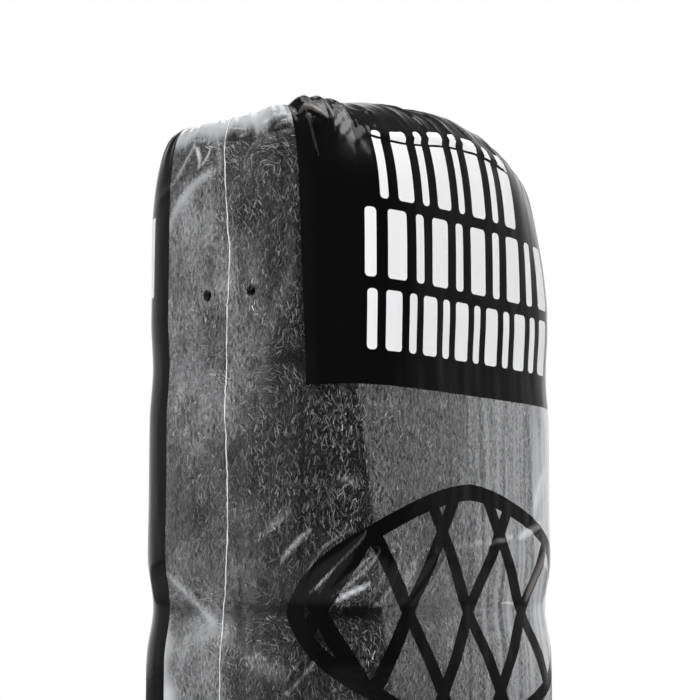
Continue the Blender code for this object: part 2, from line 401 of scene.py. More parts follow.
def makeFilmMaterial():
    material, tree, shader = newMaterial("printed film")
    uv = place(tree, "ShaderNodeUVMap", {"uv_map": "filmPlace"})
    parts = place(tree, "ShaderNodeSeparateXYZ", vector=uv.outputs[0])
    along = calc(tree, "MULTIPLY", parts.outputs["X"], 100.0)
    up = calc(tree, "MULTIPLY", parts.outputs["Y"], 100.0)
    ink = useGroup(tree, printGroup(), along=along, up=up)
    black = ink.outputs["Black"]
    white = calc(tree, "MULTIPLY", ink.outputs["White"], black)
    spot = place(tree, "ShaderNodeTexCoord").outputs["Object"]
    crinkle = useGroup(tree, crinkleGroup(), place=spot, strength=filmFinish["crinkle"])
    # haze: milkiness of the film with painted highlights and sheen; the fold attribute: the painted
    # fold highlights alone.
    haze = place(tree, "ShaderNodeAttribute", {"attribute_name": "haze"}).outputs["Fac"]
    fold = place(tree, "ShaderNodeAttribute", {"attribute_name": "fold"}).outputs["Fac"]
    facing = place(tree, "ShaderNodeLayerWeight", blend=0.5,
                   normal=crinkle.outputs[0]).outputs["Facing"]
    towards = calc(tree, "MAXIMUM", calc(tree, "SUBTRACT", 1.0, facing), 0.04)
    graze = calc(tree, "MULTIPLY", calc(tree, "DIVIDE", facing, towards), filmFinish["graze"])
    fresnel = place(tree, "ShaderNodeFresnel", iOR=1.5, normal=crinkle.outputs[0]).outputs[0]
    mirror = calc(tree, "MULTIPLY", fresnel, filmFinish["mirror"])
    stretched = vectorCalc(tree, "MULTIPLY", spot, (1.0, 1.0, 0.45))
    grain = place(tree, "ShaderNodeTexNoise", vector=stretched, scale=filmFinish["grainScale"],
                  detail=2.0)
    swing = calc(tree, "MULTIPLY_ADD", grain.outputs[0], filmFinish["grain"], -filmFinish["grain"] / 2)
    thin = calc(tree, "MULTIPLY_ADD", haze, *filmFinish["grainFade"], clamp=True)
    haze = calc(tree, "MULTIPLY", haze, calc(tree, "MULTIPLY_ADD", swing, thin, 1.0))
    cloudy = calc(tree, "MAXIMUM", calc(tree, "ADD", graze, haze), filmFinish["leastCloud"])
    clear = calc(tree, "MINIMUM", calc(tree, "ADD", mirror, cloudy), filmFinish["mostClear"])
    metal = calc(tree, "DIVIDE", mirror, calc(tree, "ADD", mirror, cloudy), clamp=True)
    plain = calc(tree, "SUBTRACT", 1.0, black)
    # Painted sheen on the black ink along the painted fold highlights
    paintedSheen = calc(tree, "MAXIMUM", calc(tree, "SUBTRACT", fold, filmFinish["inkHazeFrom"]), 0.0)
    paintedSheen = calc(tree, "MULTIPLY", paintedSheen, filmFinish["inkHaze"], clamp=True)
    inkColour = mixColour(tree, paintedSheen, printing["black"], filmFinish["inkSheen"])
    colour = mixColour(tree, black, filmFinish["clear"], inkColour)
    colour = mixColour(tree, white, colour, printing["white"])
    rough = mixValue(tree, black, filmFinish["clearRoughness"], filmFinish["inkRoughness"])
    rough = mixValue(tree, white, rough, filmFinish["whiteRoughness"])
    wire(tree, colour, shader.inputs["Base Color"])
    wire(tree, calc(tree, "MULTIPLY", metal, plain), shader.inputs["Metallic"])
    wire(tree, calc(tree, "MAXIMUM", clear, black), shader.inputs["Alpha"])
    wire(tree, rough, shader.inputs["Roughness"])
    wire(tree, crinkle.outputs[0], shader.inputs["Normal"])
    return material


# The bag
bag = {
    "fineFrom": -27.0,  # the side that is seen gets the finer mesh
    "fineTo": 128.0,
    "fineStep": 0.56,
    "coarseStep": 1.9,
    "sideStep": 1.0,
    "footStep": 3.0,
    "footTop": 60.0,
    "shoulderRows": 46,
    "sealInset": 7.0,
    "sealHalfGap": 0.35,
    "sealWidth": 12.5,
    "sealBend": 1.2,
    "cornerPush": 0.9,  # the wool presses the film a little harder at the corners
    "cornerReach": 9.0,
    "cornerAlong": 37.0,
    "rippleDepth": 0.16,
    "ridgeShare": 0.8,  # how much of their listed height the ridges and pockets get
    "pocketShare": 0.35,
    "rimWidth": 0.38,
    "sinkAt": 126.0,  # the far corner of the front sinks in at its top
    "sinkReach": 15.0,
    "sinkDepth": 3.2,
    "woolSink": 1.3,
    "ventRadius": 1.5,
    "ventAlong": (-6.6, 8.6),
    "ventUp": 210.9,
}

# Ridges in the film: from and to, half width, height, bow to one side, haze, which is a painted
# highlight along the ridge
ridges = [
    # the narrow side, at its top
    ((-3.9, 253.0), (-2.4, 243.6), 1.3, 0.5, 0.8, 0.22),
    ((-2.6, 245.4), (-21.5, 231.0), 2.7, 0.7, -2.2, 0.30),
    ((-11.6, 255.3), (-20.5, 242.9), 1.1, 0.5, 0.9, 0.30),
    ((-20.0, 243.4), (-28.0, 239.2), 1.7, 0.4, 0.0, 0.16),
    ((-12.6, 254.4), (-10.2, 246.0), 0.8, 0.4, 1.2, 0.60),
    ((-10.4, 246.2), (-5.8, 253.4), 0.6, 0.4, -1.2, 0.48),
    ((-11.0, 252.8), (-9.6, 248.4), 0.9, 0.3, 0.0, 0.26),
    ((-14.0, 256.0), (-5.0, 253.4), 0.6, 0.3, 0.7, 0.26),
    ((0.3, 254.9), (6.8, 254.2), 0.4, 0.3, 0.0, 0.34),
    ((13.6, 251.4), (27.0, 251.6), 0.45, 0.4, 0.5, 0.46),
    ((12.0, 256.6), (25.6, 258.4), 0.9, 0.5, 0.4, 0.30),
    ((17.0, 254.0), (25.0, 255.8), 1.0, 0.4, 0.3, 0.16),
    # the narrow side, further down
    ((-22.0, 138.8), (-3.6, 124.4), 1.5, 0.7, 0.3, 0.30),
    ((-22.0, 132.6), (-18.4, 131.2), 0.8, 0.3, 0.0, 0.14),
    ((3.2, 144.0), (3.8, 131.0), 1.2, 0.3, 0.2, 0.07),
    ((12.9, 147.0), (23.1, 154.2), 1.5, 0.4, 0.5, 0.13),
    ((18.6, 140.2), (28.4, 148.6), 0.95, 0.5, 0.5, 0.36),
    ((1.5, 216.0), (5.0, 199.0), 5.0, 0.3, 0.0, 0.07),
    ((14.0, 196.5), (23.0, 216.0), 3.4, 0.4, 0.0, 0.06),
    ((7.0, 117.0), (22.0, 112.0), 3.6, 0.4, 0.0, 0.11),
    # the near corner, at its top
    ((28.2, 257.0), (31.2, 242.6), 0.9, 0.25, -0.3, 0.20),
    ((25.0, 259.2), (33.6, 254.6), 1.6, 0.4, 0.6, 0.36),
    ((26.5, 257.0), (35.0, 252.4), 1.2, 0.4, 0.9, 0.26),
    ((26.8, 254.8), (31.5, 251.0), 1.0, 0.3, 0.4, 0.14),
    ((35.3, 248.6), (45.5, 255.6), 0.45, 0.45, 1.9, 0.26),
    ((34.6, 250.2), (43.6, 257.0), 0.5, 0.45, 2.0, 0.18),
    ((37.4, 247.6), (48.4, 254.2), 0.4, 0.4, 1.8, 0.16),
    ((40.5, 246.6), (52.0, 252.6), 0.4, 0.4, 1.5, 0.10),
    ((33.8, 258.4), (55.8, 257.0), 0.7, 0.7, 0.8, 0.12),
    # the black shoulder of the front
    ((59.0, 257.5), (60.0, 247.5), 0.6, 0.35, 0.3, 0.12),
    ((78.5, 257.0), (80.8, 247.5), 0.9, 0.35, 0.4, 0.10),
    ((88.5, 256.0), (91.5, 247.5), 0.6, 0.35, 0.3, 0.09),
    ((69.0, 259.5), (71.0, 251.0), 0.5, 0.35, -0.3, 0.06),
    ((101.0, 254.0), (104.0, 246.0), 0.8, 0.35, 0.3, 0.08),
    # the front round the lattice
    ((34.4, 133.4), (45.0, 143.6), 0.8, 0.3, 0.3, 0.24),
    ((34.6, 130.8), (43.4, 135.2), 0.95, 0.7, 0.3, 0.75),
    ((53.9, 133.4), (58.4, 141.2), 1.9, 0.4, 0.3, 0.16),
    ((35.9, 161.8), (39.8, 159.2), 0.8, 0.3, 0.0, 0.24),
    ((71.0, 145.2), (101.0, 148.0), 0.8, 0.3, -0.4, 0.14),
    ((90.0, 146.2), (101.6, 148.2), 0.8, 0.5, 0.0, 0.55),
    ((104.2, 148.0), (117.8, 152.0), 1.6, 0.8, 0.3, 0.75),
    ((111.0, 153.0), (121.2, 168.0), 2.4, 0.6, 1.0, 0.34),
    ((109.6, 130.6), (120.6, 145.6), 2.6, 0.8, 0.6, 0.65),
    # the sides that the back and the far weld look to
    ((150.0, 240.0), (134.0, 228.0), 1.6, 0.6, 1.2, 0.26),
    ((146.0, 128.0), (128.0, 140.0), 1.4, 0.6, 0.4, 0.28),
    ((-60.0, 246.0), (-84.0, 238.0), 1.2, 0.5, 1.0, 0.10),
    ((-120.0, 244.0), (-104.0, 252.0), 1.2, 0.5, 1.0, 0.12),
]

# Pockets where the film lifts off the wool, so that it is clearer inside and has a
# painted highlight along its rim: from and to, half width, height, bow, haze of the rim, haze inside
pockets = [
    ((26.2, 132.8), (41.6, 148.4), 2.6, 0.8, 1.3, 0.30, -0.05),
    ((33.2, 132.4), (45.6, 144.0), 1.8, 0.8, 0.5, 0.28, -0.04),
    ((44.6, 130.2), (51.8, 145.2), 1.9, 0.7, -0.9, 0.16, -0.05),
    ((52.6, 130.8), (66.5, 144.0), 2.9, 0.7, 1.3, 0.12, -0.01),
    ((56.5, 130.2), (70.5, 143.8), 1.5, 0.6, -0.6, 0.10, -0.07),
    ((20.0, 108.0), (31.0, 119.0), 1.6, 0.5, 0.4, 0.12, -0.03),
    ((134.0, 133.0), (148.0, 146.0), 2.4, 0.7, 1.0, 0.24, -0.03),
    ((152.0, 226.0), (142.0, 244.0), 2.2, 0.7, 1.0, 0.20, -0.02),
]

# The tuck that crosses the upper row of blocks: from, to, step and run-out upwards
tuck = {"start": (43.0, 248.6), "end": (106.0, 246.9), "step": 0.75, "fade": 5.0}

# How milky the narrow side is at heights up the film, towards the back and the front
milkiness = {
    "up": (40, 100, 108, 121, 129, 150, 160, 172, 190, 216, 232, 248),
    "haze": (0.05, 0.25, 0.54, 0.50, 0.12, 0.04, 0.06, 0.12, 0.15, 0.16, 0.15, 0.05),
    "frontHaze": (0.02, 0.02, 0.02, 0.03, 0.05, 0.04, 0.02, 0.03, 0.08, 0.06, -0.01, 0.05),
    "backStart": (-30.0, -24.0),
    "backEnd": (5.0, -4.0),
    "lowShare": 0.75,  # below the joint it fades towards the weld
    "lowUp": (128.0, 118.0),
    "lowAlong": (-22.0, -8.0),
    "frontStart": (-3.0, 2.0),
    "frontEnd": (18.0, 6.0),
    "blotches": 0.9,
    "frontBlotches": 1.6,
}

# The haze of the film on the front: a painted sheen, stepping up beyond a leaning line and bright at
# the far end
frontFilm = {
    "edge": 35.6,
    "edgeUp": 219.0,
    "edgeLean": 7.2 / 58.0,
    # the step of painted sheen beyond the leaning line
    "loose": 0.07,
    "looseEnd": (90.0, 50.0),
    # the painted sheen that grows towards the far end
    "shine": 0.30,
    "shineRise": (56.0, 116.0),
    "shineEnd": (150.0, 128.0),
    "up": (60.0, 130.0),
    "streaks": 0.9,
}

# Film folded in over the narrow sides: its haze is partly the plies of film and partly a painted
# highlight on the fold
foldedIn = {"haze": 0.42, "from": 252.6, "waver": 1.6, "depth": 7.0, "reach": (27.0, 24.0)}

# Where the film of the top stands higher: along, spread, height, from and to up the film
swells = [
    (84.0, 29.0, 6.4, 228.0, 252.0),
    (-90.0, 60.0, 1.2, 228.0, 256.0),
    (4.0, 16.0, 0.8, 244.0, 262.0),
    (19.0, 8.0, 1.8, 246.0, 260.0),
    (77.0, 7.0, -1.6, 250.0, 262.0),
]

# The ear of loose film at the near corner
ear = {
    "height": 3.2,
    "start": (25.5, 29.0),
    "end": (56.0, 31.0),
    "low": (244.0, 257.0),
    "high": (277.0, 263.0),
}

pleat = {
    "depth": 0.16,
    "fineDepth": 0.6,
    "overFront": 0.3,  # share of the depth away from the narrow sides
    "narrow": (34.0, 24.0),
    "up": (246.0, 263.0),
}


def outlineTable():
    # The plan outline as points with their distance along it, from -X by the front.
    turn = math.pi + np.linspace(0, 2 * math.pi, 4001)
    reach = 1.0 / planShare(np.cos(turn), np.sin(turn), halfX, halfY)
    x, y = reach * np.cos(turn), reach * np.sin(turn)
    steps = np.hypot(np.diff(x), np.diff(y))
    return x, y, np.concatenate([[0.0], np.cumsum(steps)])


outlineX, outlineY, outlineAlong = outlineTable()
roundLength = outlineAlong[-1]
halfRound = roundLength / 2


def alongAt(x, y):
    # How far round the bag a point of the wool lies.
    turn = (np.arctan2(y, x) - math.pi) % (2 * math.pi)
    share = turn / (2 * math.pi) * (len(outlineAlong) - 1)
    return np.interp(share, np.arange(len(outlineAlong)), outlineAlong) + pack["wrapShift"]


def farSink(along, up):
    # How far the film and the wool sink in at the top of the front's far end.
    across = np.exp(-(((along - bag["sinkAt"]) / bag["sinkReach"]) ** 2))
    return bag["sinkDepth"] * across * smooth(212, 246, up) * smooth(290, 266, up)


def outlineAt(along):
    # Unit outline at a distance round the bag from the near weld.
    distance = (along - pack["wrapShift"]) % roundLength
    x = np.interp(distance, outlineAlong, outlineX)
    y = np.interp(distance, outlineAlong, outlineY)
    return x / halfX, y / halfY


def filmColumns():
    # Places round the bag, from the far weld by the back and the near weld to the front.
    stretches = [(-halfRound, bag["fineFrom"], bag["coarseStep"]),
                 (bag["fineFrom"], bag["fineTo"], bag["fineStep"]),
                 (bag["fineTo"], halfRound, bag["coarseStep"])]
    places = []
    for start, end, step in stretches:
        count = round((end - start) / step)
        places.extend(start + (end - start) * i / count for i in range(count))
    return np.array(places)


def filmRows():
    # Each row of the bag as its height up the film, half sizes, level and kind.
    rows = []
    inset = pack["baseInset"]
    for share in (0.06, 0.3, 0.55, 0.8, 0.93):
        sizeX, sizeY = (halfX - inset) * share, (halfY - inset) * share
        rows.append((-(1 - share) * 36 - inset, sizeX, sizeY, 0.0, 1.0))
    for share in np.linspace(0, 1, 9)[:-1]:
        turn = share * math.pi / 2
        inwards = inset * (1 - math.sin(turn) ** (2 / pack["basePower"]))
        z = pack["baseRound"] * (1 - math.cos(turn) ** (2 / pack["basePower"]))
        rows.append((z - inwards, halfX - inwards, halfY - inwards, z, 1.0))
    low, high = pack["baseRound"], shoulderStart
    for start, end, step in ((low, bag["footTop"], bag["footStep"]),
                             (bag["footTop"], high, bag["sideStep"])):
        count = round((end - start) / step)
        for i in range(count):
            z = start + (end - start) * i / count
            inwards = waistAt(z)
            rows.append((z, halfX - inwards, halfY - inwards, z, 1.0))
    up, lastY, lastZ = shoulderStart, halfY, shoulderStart
    for i in range(bag["shoulderRows"]):
        turn = math.pi / 2 * (1 - i / bag["shoulderRows"]) ** 0.85
        share = math.sin(turn) ** (2 / pack["topPower"])
        z = shoulderStart + pack["shoulder"] * float(rise(share, pack["topPower"]))
        sizeY = halfY * share
        up += math.hypot(sizeY - lastY, z - lastZ)
        lastY, lastZ = sizeY, z
        sizeX = halfX - bag["sealInset"] * (1 - float(rise(1 - share, 2.0)))
        rows.append((up, sizeX, sizeY, z, share))
    return rows


def lineField(along, up, start, end, bow):
    # How far places lie along a bowed line, as a share, and how far from it.
    a, b = np.array(start), np.array(end)
    way = b - a
    length = np.hypot(*way)
    offA, offB = along - a[0], up - a[1]
    share = (offA * way[0] + offB * way[1]) / length**2
    across = (offB * way[0] - offA * way[1]) / length
    inside = np.clip(share, 0, 1)
    across = across - bow * 4 * inside * (1 - inside)
    beyond = np.maximum(np.maximum(-share, share - 1), 0) * length
    return inside, across, beyond


def filmRelief(along, up):
    # Height of all ridges, pockets and the tuck at places on the film, and their haze, which is a
    # painted highlight along the ridges and the pocket rims.
    height = np.zeros_like(along)
    haze = np.zeros_like(along)
    # The haze of each ridge is a painted highlight along it.
    for start, end, half, rises, bow, cloud in ridges:
        share, across, beyond = lineField(along, up, start, end, bow)
        taper = np.clip(share / 0.2, 0, 1) * np.clip((1 - share) / 0.2, 0, 1)
        reach = half * (0.25 + 0.85 * (4 * share * (1 - share)) ** 0.6)
        near = np.clip(1 - np.abs(across) / reach, 0, 1) * (beyond < 0.01)
        crest = near**1.4 * np.sqrt(taper)
        height += rises * bag["ridgeShare"] * crest
        haze += cloud * near**1.2 * taper**0.4
    # A painted highlight along each pocket's rim, and thinner haze inside it.
    for start, end, half, rises, bow, rim, inside in pockets:
        share, across, beyond = lineField(along, up, start, end, bow)
        reach = np.maximum(half * np.sqrt(4 * share * (1 - share)), 0.01)
        near = np.clip(1 - (across / reach) ** 2, 0, 1) * (beyond < 0.01)
        line = np.exp(-(((np.abs(across) - reach) / bag["rimWidth"]) ** 2)) * (beyond < 0.4)
        height += rises * bag["pocketShare"] * near
        haze += inside * np.sqrt(near) + rim * line * (0.7 - 0.3 * np.sign(across))
    share, across, beyond = lineField(along, up, tuck["start"], tuck["end"], 0.0)
    ends = np.clip(share / 0.08, 0, 1) * np.clip((1 - share) / 0.08, 0, 1)
    over = np.clip(across / 0.35, 0, 1) * np.clip(1 - across / tuck["fade"], 0, 1)
    height += tuck["step"] * over * ends * (beyond < 0.01)
    return height, haze


def topHazeAndHighlight(along, up, streaks):
    # Film lies in several plies where it is folded in over the narrow sides; the whitish haze there is
    # partly these plies and partly a painted highlight on the fold.
    haze = np.zeros_like(along)
    waver = foldedIn["waver"]
    for centre in (0.0, halfRound):
        away = np.abs((along - centre + halfRound) % roundLength - halfRound)
        edge = foldedIn["from"] + waver * np.sin(along * 0.42) + waver * streaks
        folded = smooth(edge, edge + foldedIn["depth"], up) * smooth(*foldedIn["reach"], away)
        haze += foldedIn["haze"] * folded
    return haze


def sideHazeAndSheen(along, up, streaks, blotches):
    # On the front a painted sheen steps up beyond a sharp upright line and grows more
    # and more towards the far end. The narrow side is milky towards the back.
    edge = frontFilm["edge"] + (frontFilm["edgeUp"] - up) * frontFilm["edgeLean"]
    # The step of painted sheen beyond the line
    loose = frontFilm["loose"] * smooth(edge - 0.5, edge + 0.5, along)
    loose = loose * smooth(*frontFilm["looseEnd"], along)
    # Painted sheen that grows towards the far end, in streaks
    shine = frontFilm["shine"] * smooth(*frontFilm["shineRise"], along)
    shine = shine * smooth(*frontFilm["shineEnd"], along) * (1 + frontFilm["streaks"] * streaks)
    total = (loose + shine) * smooth(*frontFilm["up"], up)
    level = np.interp(up, milkiness["up"], milkiness["haze"])
    fainter = np.interp(up, milkiness["up"], milkiness["frontHaze"])
    low = milkiness["lowShare"] * smooth(*milkiness["lowUp"], up)
    for centre in (0.0, halfRound):
        around = (along - centre + halfRound) % roundLength - halfRound
        milky = smooth(*milkiness["backEnd"], around) * smooth(*milkiness["backStart"], around)
        milky = milky * (1 - low * smooth(*milkiness["lowAlong"], around))
        total = total + level * milky * (1 + milkiness["blotches"] * blotches)
        side = smooth(*milkiness["frontStart"], around) * smooth(*milkiness["frontEnd"], around)
        total = total + fainter * side * np.clip(1 + milkiness["frontBlotches"] * blotches, 0, 3)
    return total


def topLift(along, up):
    # Loose film stands higher over the front, and as an ear at the near corner.
    lift = ear["height"] * smooth(*ear["start"], along) * smooth(*ear["end"], along)
    lift = lift * smooth(*ear["low"], up) * smooth(*ear["high"], up)
    for at, spread, height, low, high in swells:
        lift = lift + height * np.exp(-(((along - at) / spread) ** 2)) * smooth(low, high, up)
    return lift


def pleats(along, up):
    # Gathers that run up into the folded mouth, more of them over the narrow sides.
    wave = np.sin(along * 0.9 + 1.4 * np.sin(along * 0.23)) + 0.6 * np.sin(along * 1.63 + 0.7)
    fine = np.abs(np.sin(along * 0.31 + np.sin(along * 0.17) * 2.0)) ** 8
    away = np.minimum(np.abs(along), np.abs(np.abs(along) - halfRound))
    narrow = smooth(*pleat["narrow"], away)
    share = pleat["overFront"] + (1 - pleat["overFront"]) * narrow
    depth = pleat["depth"] * wave * share + pleat["fineDepth"] * fine * (1.0 - 0.5 * narrow)
    return depth * smooth(*pleat["up"], up)


def sealRow(unitX, unitY, turn, run, gapShare):
    # A ring of the two plies of the flat seal, which bends over to the back.
    centreY = bag["sealBend"] * (1 - math.cos(turn)) + run
    centreZ = bagTop + bag["sealBend"] * math.sin(turn)
    off = unitY * bag["sealHalfGap"] * gapShare
    x = unitX * (halfX - bag["sealInset"])
    return np.stack([x, centreY + off * math.cos(turn),
                     centreZ - off * math.sin(turn) - pack["endFall"] * np.abs(unitX) ** 3], 1)


def surfaceNormals(grid):
    alongWay = np.roll(grid, -1, 1) - np.roll(grid, 1, 1)
    upWay = np.gradient(grid, axis=0)
    normals = np.cross(alongWay, upWay)
    size = np.linalg.norm(normals, axis=2, keepdims=True)
    return normals / np.maximum(size, 1e-9)


def bagGrid():
    # The film as a grid of points, with the place on the film and the haze of each.
    along = filmColumns()
    unitX, unitY = outlineAt(along)
    rows = filmRows()
    grid = []
    for up, sizeX, sizeY, z, share in rows:
        # Over the shoulders the narrow sides run straight up, up to the folded seal.
        straight = 1 - (1 - np.minimum(np.abs(unitY), 1)) ** (1 / max(share, 0.02))
        y = np.sign(unitY) * sizeY * (straight if z > shoulderStart else np.abs(unitY))
        ring = np.stack([unitX * sizeX, y, np.full_like(unitX, z)], 1)
        ring[:, 2] -= pack["endFall"] * np.abs(unitX) ** 3 * (1 - share)
        grid.append(ring)
    grid = np.array(grid)
    ups = np.array([row[0] for row in rows])
    alongs, upGrid = np.meshgrid(along, ups)
    normals = surfaceNormals(grid)
    # The painted fold highlights are also kept apart, for the painted sheen on the ink.
    height, foldHighlights = filmRelief(alongs, upGrid)
    flat = grid.reshape(-1, 3)
    ripple = fieldNoise(flat, (0.11, 0.11, 0.03), 3, 2) + 0.6 * fieldNoise(flat, (0.3, 0.3, 0.06), 5)
    ripple = ripple.reshape(alongs.shape) * bag["rippleDepth"]
    body = smooth(4, 14, upGrid)
    corner = planCorner(alongs) * smooth(20, 40, upGrid) * smooth(262, 236, upGrid)
    corner -= farSink(alongs, upGrid)
    height = height + corner + pleats(alongs, upGrid)
    places = np.stack([alongs.ravel(), upGrid.ravel(), np.zeros(alongs.size)], 1)
    streaks = fieldNoise(places, (0.62, 0.022, 1.0), 8, 2).reshape(alongs.shape)
    blotches = fieldNoise(places, (0.13, 0.075, 1.0), 9, 2).reshape(alongs.shape)
    grid = grid + normals * (height * body + ripple * body)[..., None]
    grid[..., 2] += topLift(alongs, upGrid)
    # The haze holds the film's milkiness together with painted highlights and painted sheen.
    haze = foldHighlights + topHazeAndHighlight(alongs, upGrid, streaks) + sideHazeAndSheen(alongs, upGrid, streaks, blotches)
    top = topLift(along, np.full_like(along, ups[-1]))
    seal = []
    turns = [(t, 0.0, 1.0) for t in np.radians([0, 20, 40, 60, 80, 90])]
    runs = [(math.pi / 2, bag["sealWidth"] * s, 1.0) for s in (0.15, 0.35, 0.55, 0.75, 0.92)]
    for turn, run, gapShare in turns + runs + [(math.pi / 2, bag["sealWidth"], 0.0)]:
        ring = sealRow(unitX, unitY, turn, run, gapShare)
        ring[:, 2] += top * max(0.0, 1 - run / 30)
        seal.append(ring)
        distance = bag["sealBend"] * turn + run
        ups = np.append(ups, ups[len(rows) - 1] + 1.0 + distance)
    grid = np.concatenate([grid, np.array(seal)])
    haze = np.concatenate([haze, np.full((len(seal), len(along)), 0.10)])
    foldHighlights = np.concatenate([foldHighlights, np.zeros((len(seal), len(along)))])
    return along, ups, grid, haze, foldHighlights


def planCorner(along):
    # 1 at the four soft corners and 0 in between.
    total = 0.0
    for start in (0.0, halfRound):
        for side in (-1, 1):
            at = start + side * bag["cornerAlong"] + pack["wrapShift"]
            push = bag["cornerPush"] if start == 0.0 and side > 0 else bag["cornerPush"] * 0.25
            away = (along - at + halfRound) % roundLength - halfRound
            total = total + push * np.exp(-((away / bag["cornerReach"]) ** 2))
    return total


def ventPlaces():
    return [(side * halfRound + step, bag["ventUp"])
            for side in (0, 1) for step in bag["ventAlong"]]


def makeBag(material):
    along, ups, grid, haze, foldHighlights = bagGrid()
    rows, columns = grid.shape[:2]
    mesh = bpy.data.meshes.new("film_bag_look")
    builder = bmesh.new()
    uvLayer = builder.loops.layers.uv.new("filmPlace")
    hazeLayer = builder.verts.layers.float.new("haze")
    foldHighlightLayer = builder.verts.layers.float.new("fold")
    points = []
    for j in range(rows):
        line = []
        for i in range(columns):
            vertex = builder.verts.new(grid[j, i] * mm)
            vertex[hazeLayer] = float(haze[j, i])
            vertex[foldHighlightLayer] = float(foldHighlights[j, i])
            line.append(vertex)
        points.append(line)
    turned = np.append(along, halfRound)
    centres = [((a + halfRound) % roundLength - halfRound, u) for a, u in ventPlaces()]
    for j in range(rows - 1):
        for i in range(columns):
            k = (i + 1) % columns
            middleUp = (ups[j] + ups[j + 1]) / 2
            middleAlong = (turned[i] + turned[i + 1]) / 2
            if any(math.hypot(middleAlong - a, middleUp - u) < bag["ventRadius"] for a, u in centres):
                continue
            face = builder.faces.new((points[j][i], points[j][k], points[j + 1][k], points[j + 1][i]))
            corners = ((i, j), (i + 1, j), (i + 1, j + 1), (i, j + 1))
            for loop, (c, r) in zip(face.loops, corners):
                loop[uvLayer].uv = (turned[c] / 100, ups[r] / 100)
    pole = builder.verts.new((0, 0, 0))
    for i in range(columns):
        face = builder.faces.new((points[0][(i + 1) % columns], points[0][i], pole))
        for loop in face.loops:
            loop[uvLayer].uv = (turned[i] / 100, -0.4)
    loose = [v for v in builder.verts if not v.link_faces]
    bmesh.ops.delete(builder, geom=loose, context="VERTS")
    for v in builder.verts:
        v.tag = any(edge.is_boundary for edge in v.link_edges)
    roundVents(builder, uvLayer, centres)
    bmesh.ops.remove_doubles(builder, verts=points[-1], dist=0.02 * mm)
    builder.to_mesh(mesh)
    builder.free()
    mesh.shade_smooth()
    mesh.materials.append(material)
    thing = bpy.data.objects.new("film_bag_look", mesh)
    bpy.context.scene.collection.objects.link(thing)
    return thing, along, ups, grid


def roundVents(builder, uvLayer, centres):
    # Moves the stepped rim of each vent hole onto its circle.
    for v in builder.verts:
        if not v.tag:
            continue
        at = v.link_loops[0][uvLayer].uv * 100
        for a, u in centres:
            offA, offU = at.x - a, at.y - u
            away = math.hypot(offA, offU)
            if 0.01 < away < bag["ventRadius"] * 2:
                pull = bag["ventRadius"] / away - 1
                tangent = Vector((0, -1, 0)) if v.co.x < 0 else Vector((0, 1, 0))
                v.co += tangent * offA * pull * mm + Vector((0, 0, offU * pull * mm))


# The pads
pad = {
    "runStep": 3.6,
    "turnSteps": (6, 8, 12),
    "turnPower": 3.4,
    "stations": (0.0, 0.17, 0.33, 0.48, 0.61, 0.72, 0.81, 0.88, 0.93, 0.965),
    "edge": ((1.6, 1.0), (0.5, 0.86), (0.0, 0.52)),  # distance from the end, thickness there
    "lump": 0.34,
    "edgeUneven": 0.9,
    "endShrink": 0.05,
    "topReach": 0.78,  # how little the top falls away towards the narrow sides
    "topBand": 8.0,
    "jointWave": 1.0,
    "waveReach": 12.0,
    "hiddenShare": 0.2,
    "outerBand": 3.4,
    "fill": 0.8,
}


def rollPath():
    # Middle line of the rolled ribbon as (y, z, heading, distance), as it is wound.
    layer = padThick / 4
    top, bottom = padHeight - 2 * layer, 1.5 * layer
    turns = ((0.0, top, 0.5 * layer, 0.0), (0.5 * layer, bottom, layer, math.pi),
             (0.0, top, 1.5 * layer, 0.0))
    line = [(0.5 * layer, bottom, math.pi / 2)]
    for (centre, height, radius, start), steps in zip(turns, pad["turnSteps"]):
        y = centre + radius * math.cos(start)
        fillRun(line, y, height)
        for i in range(1, steps + 1):
            turn = start + math.pi * i / steps
            reach = radius * squareReach(turn)
            line.append((centre + reach * math.cos(turn), height + reach * math.sin(turn),
                         turn + math.pi / 2))
    fillRun(line, -1.5 * layer, 0.5 * layer)
    line = np.array(line)
    steps = np.hypot(np.diff(line[:, 0]), np.diff(line[:, 1]))
    return line, np.concatenate([[0.0], np.cumsum(steps)])


def squareReach(turn):
    # The pads press each other square, so a turn reaches further at its corners.
    power = pad["turnPower"]
    return (abs(math.cos(turn)) ** power + abs(math.sin(turn)) ** power) ** (-1 / power)


def fillRun(line, y, height):
    # Adds evenly spaced points straight up or down to a height.
    start, heading = line[-1][1], line[-1][2]
    count = max(1, round(abs(height - start) / pad["runStep"]))
    for i in range(1, count + 1):
        line.append((y, start + (height - start) * i / count, heading))


def halfDepthAt(x, sizeX, sizeY):
    return sizeY * rise(x / sizeX, pack["cornerPower"])


def baseHeight(share):
    inner = 1.0 - pack["baseInset"] / woolHalfY
    beyond = np.clip(share - inner, 0, 1) / (1.0 - inner)
    return pack["baseRound"] * (1.0 - rise(beyond, pack["basePower"]))


def padHalfLength(row):
    innerEdge = abs(row - (pack["rows"] - 1) / 2) * rowPitch - padThick / 2
    outermost = row in (0, pack["rows"] - 1)
    limit = innerEdge + (pack["cornerThin"] if outermost else 1.0) * padThick
    return woolHalfX * float(rise(limit / woolHalfY, pack["cornerPower"]))


def woolTopAt(x, y):
    share = planShare(x * pad["topReach"], y, woolHalfX, woolHalfY)
    return woolTop - pack["shoulder"] + pack["shoulder"] * rise(share, pack["topPower"])


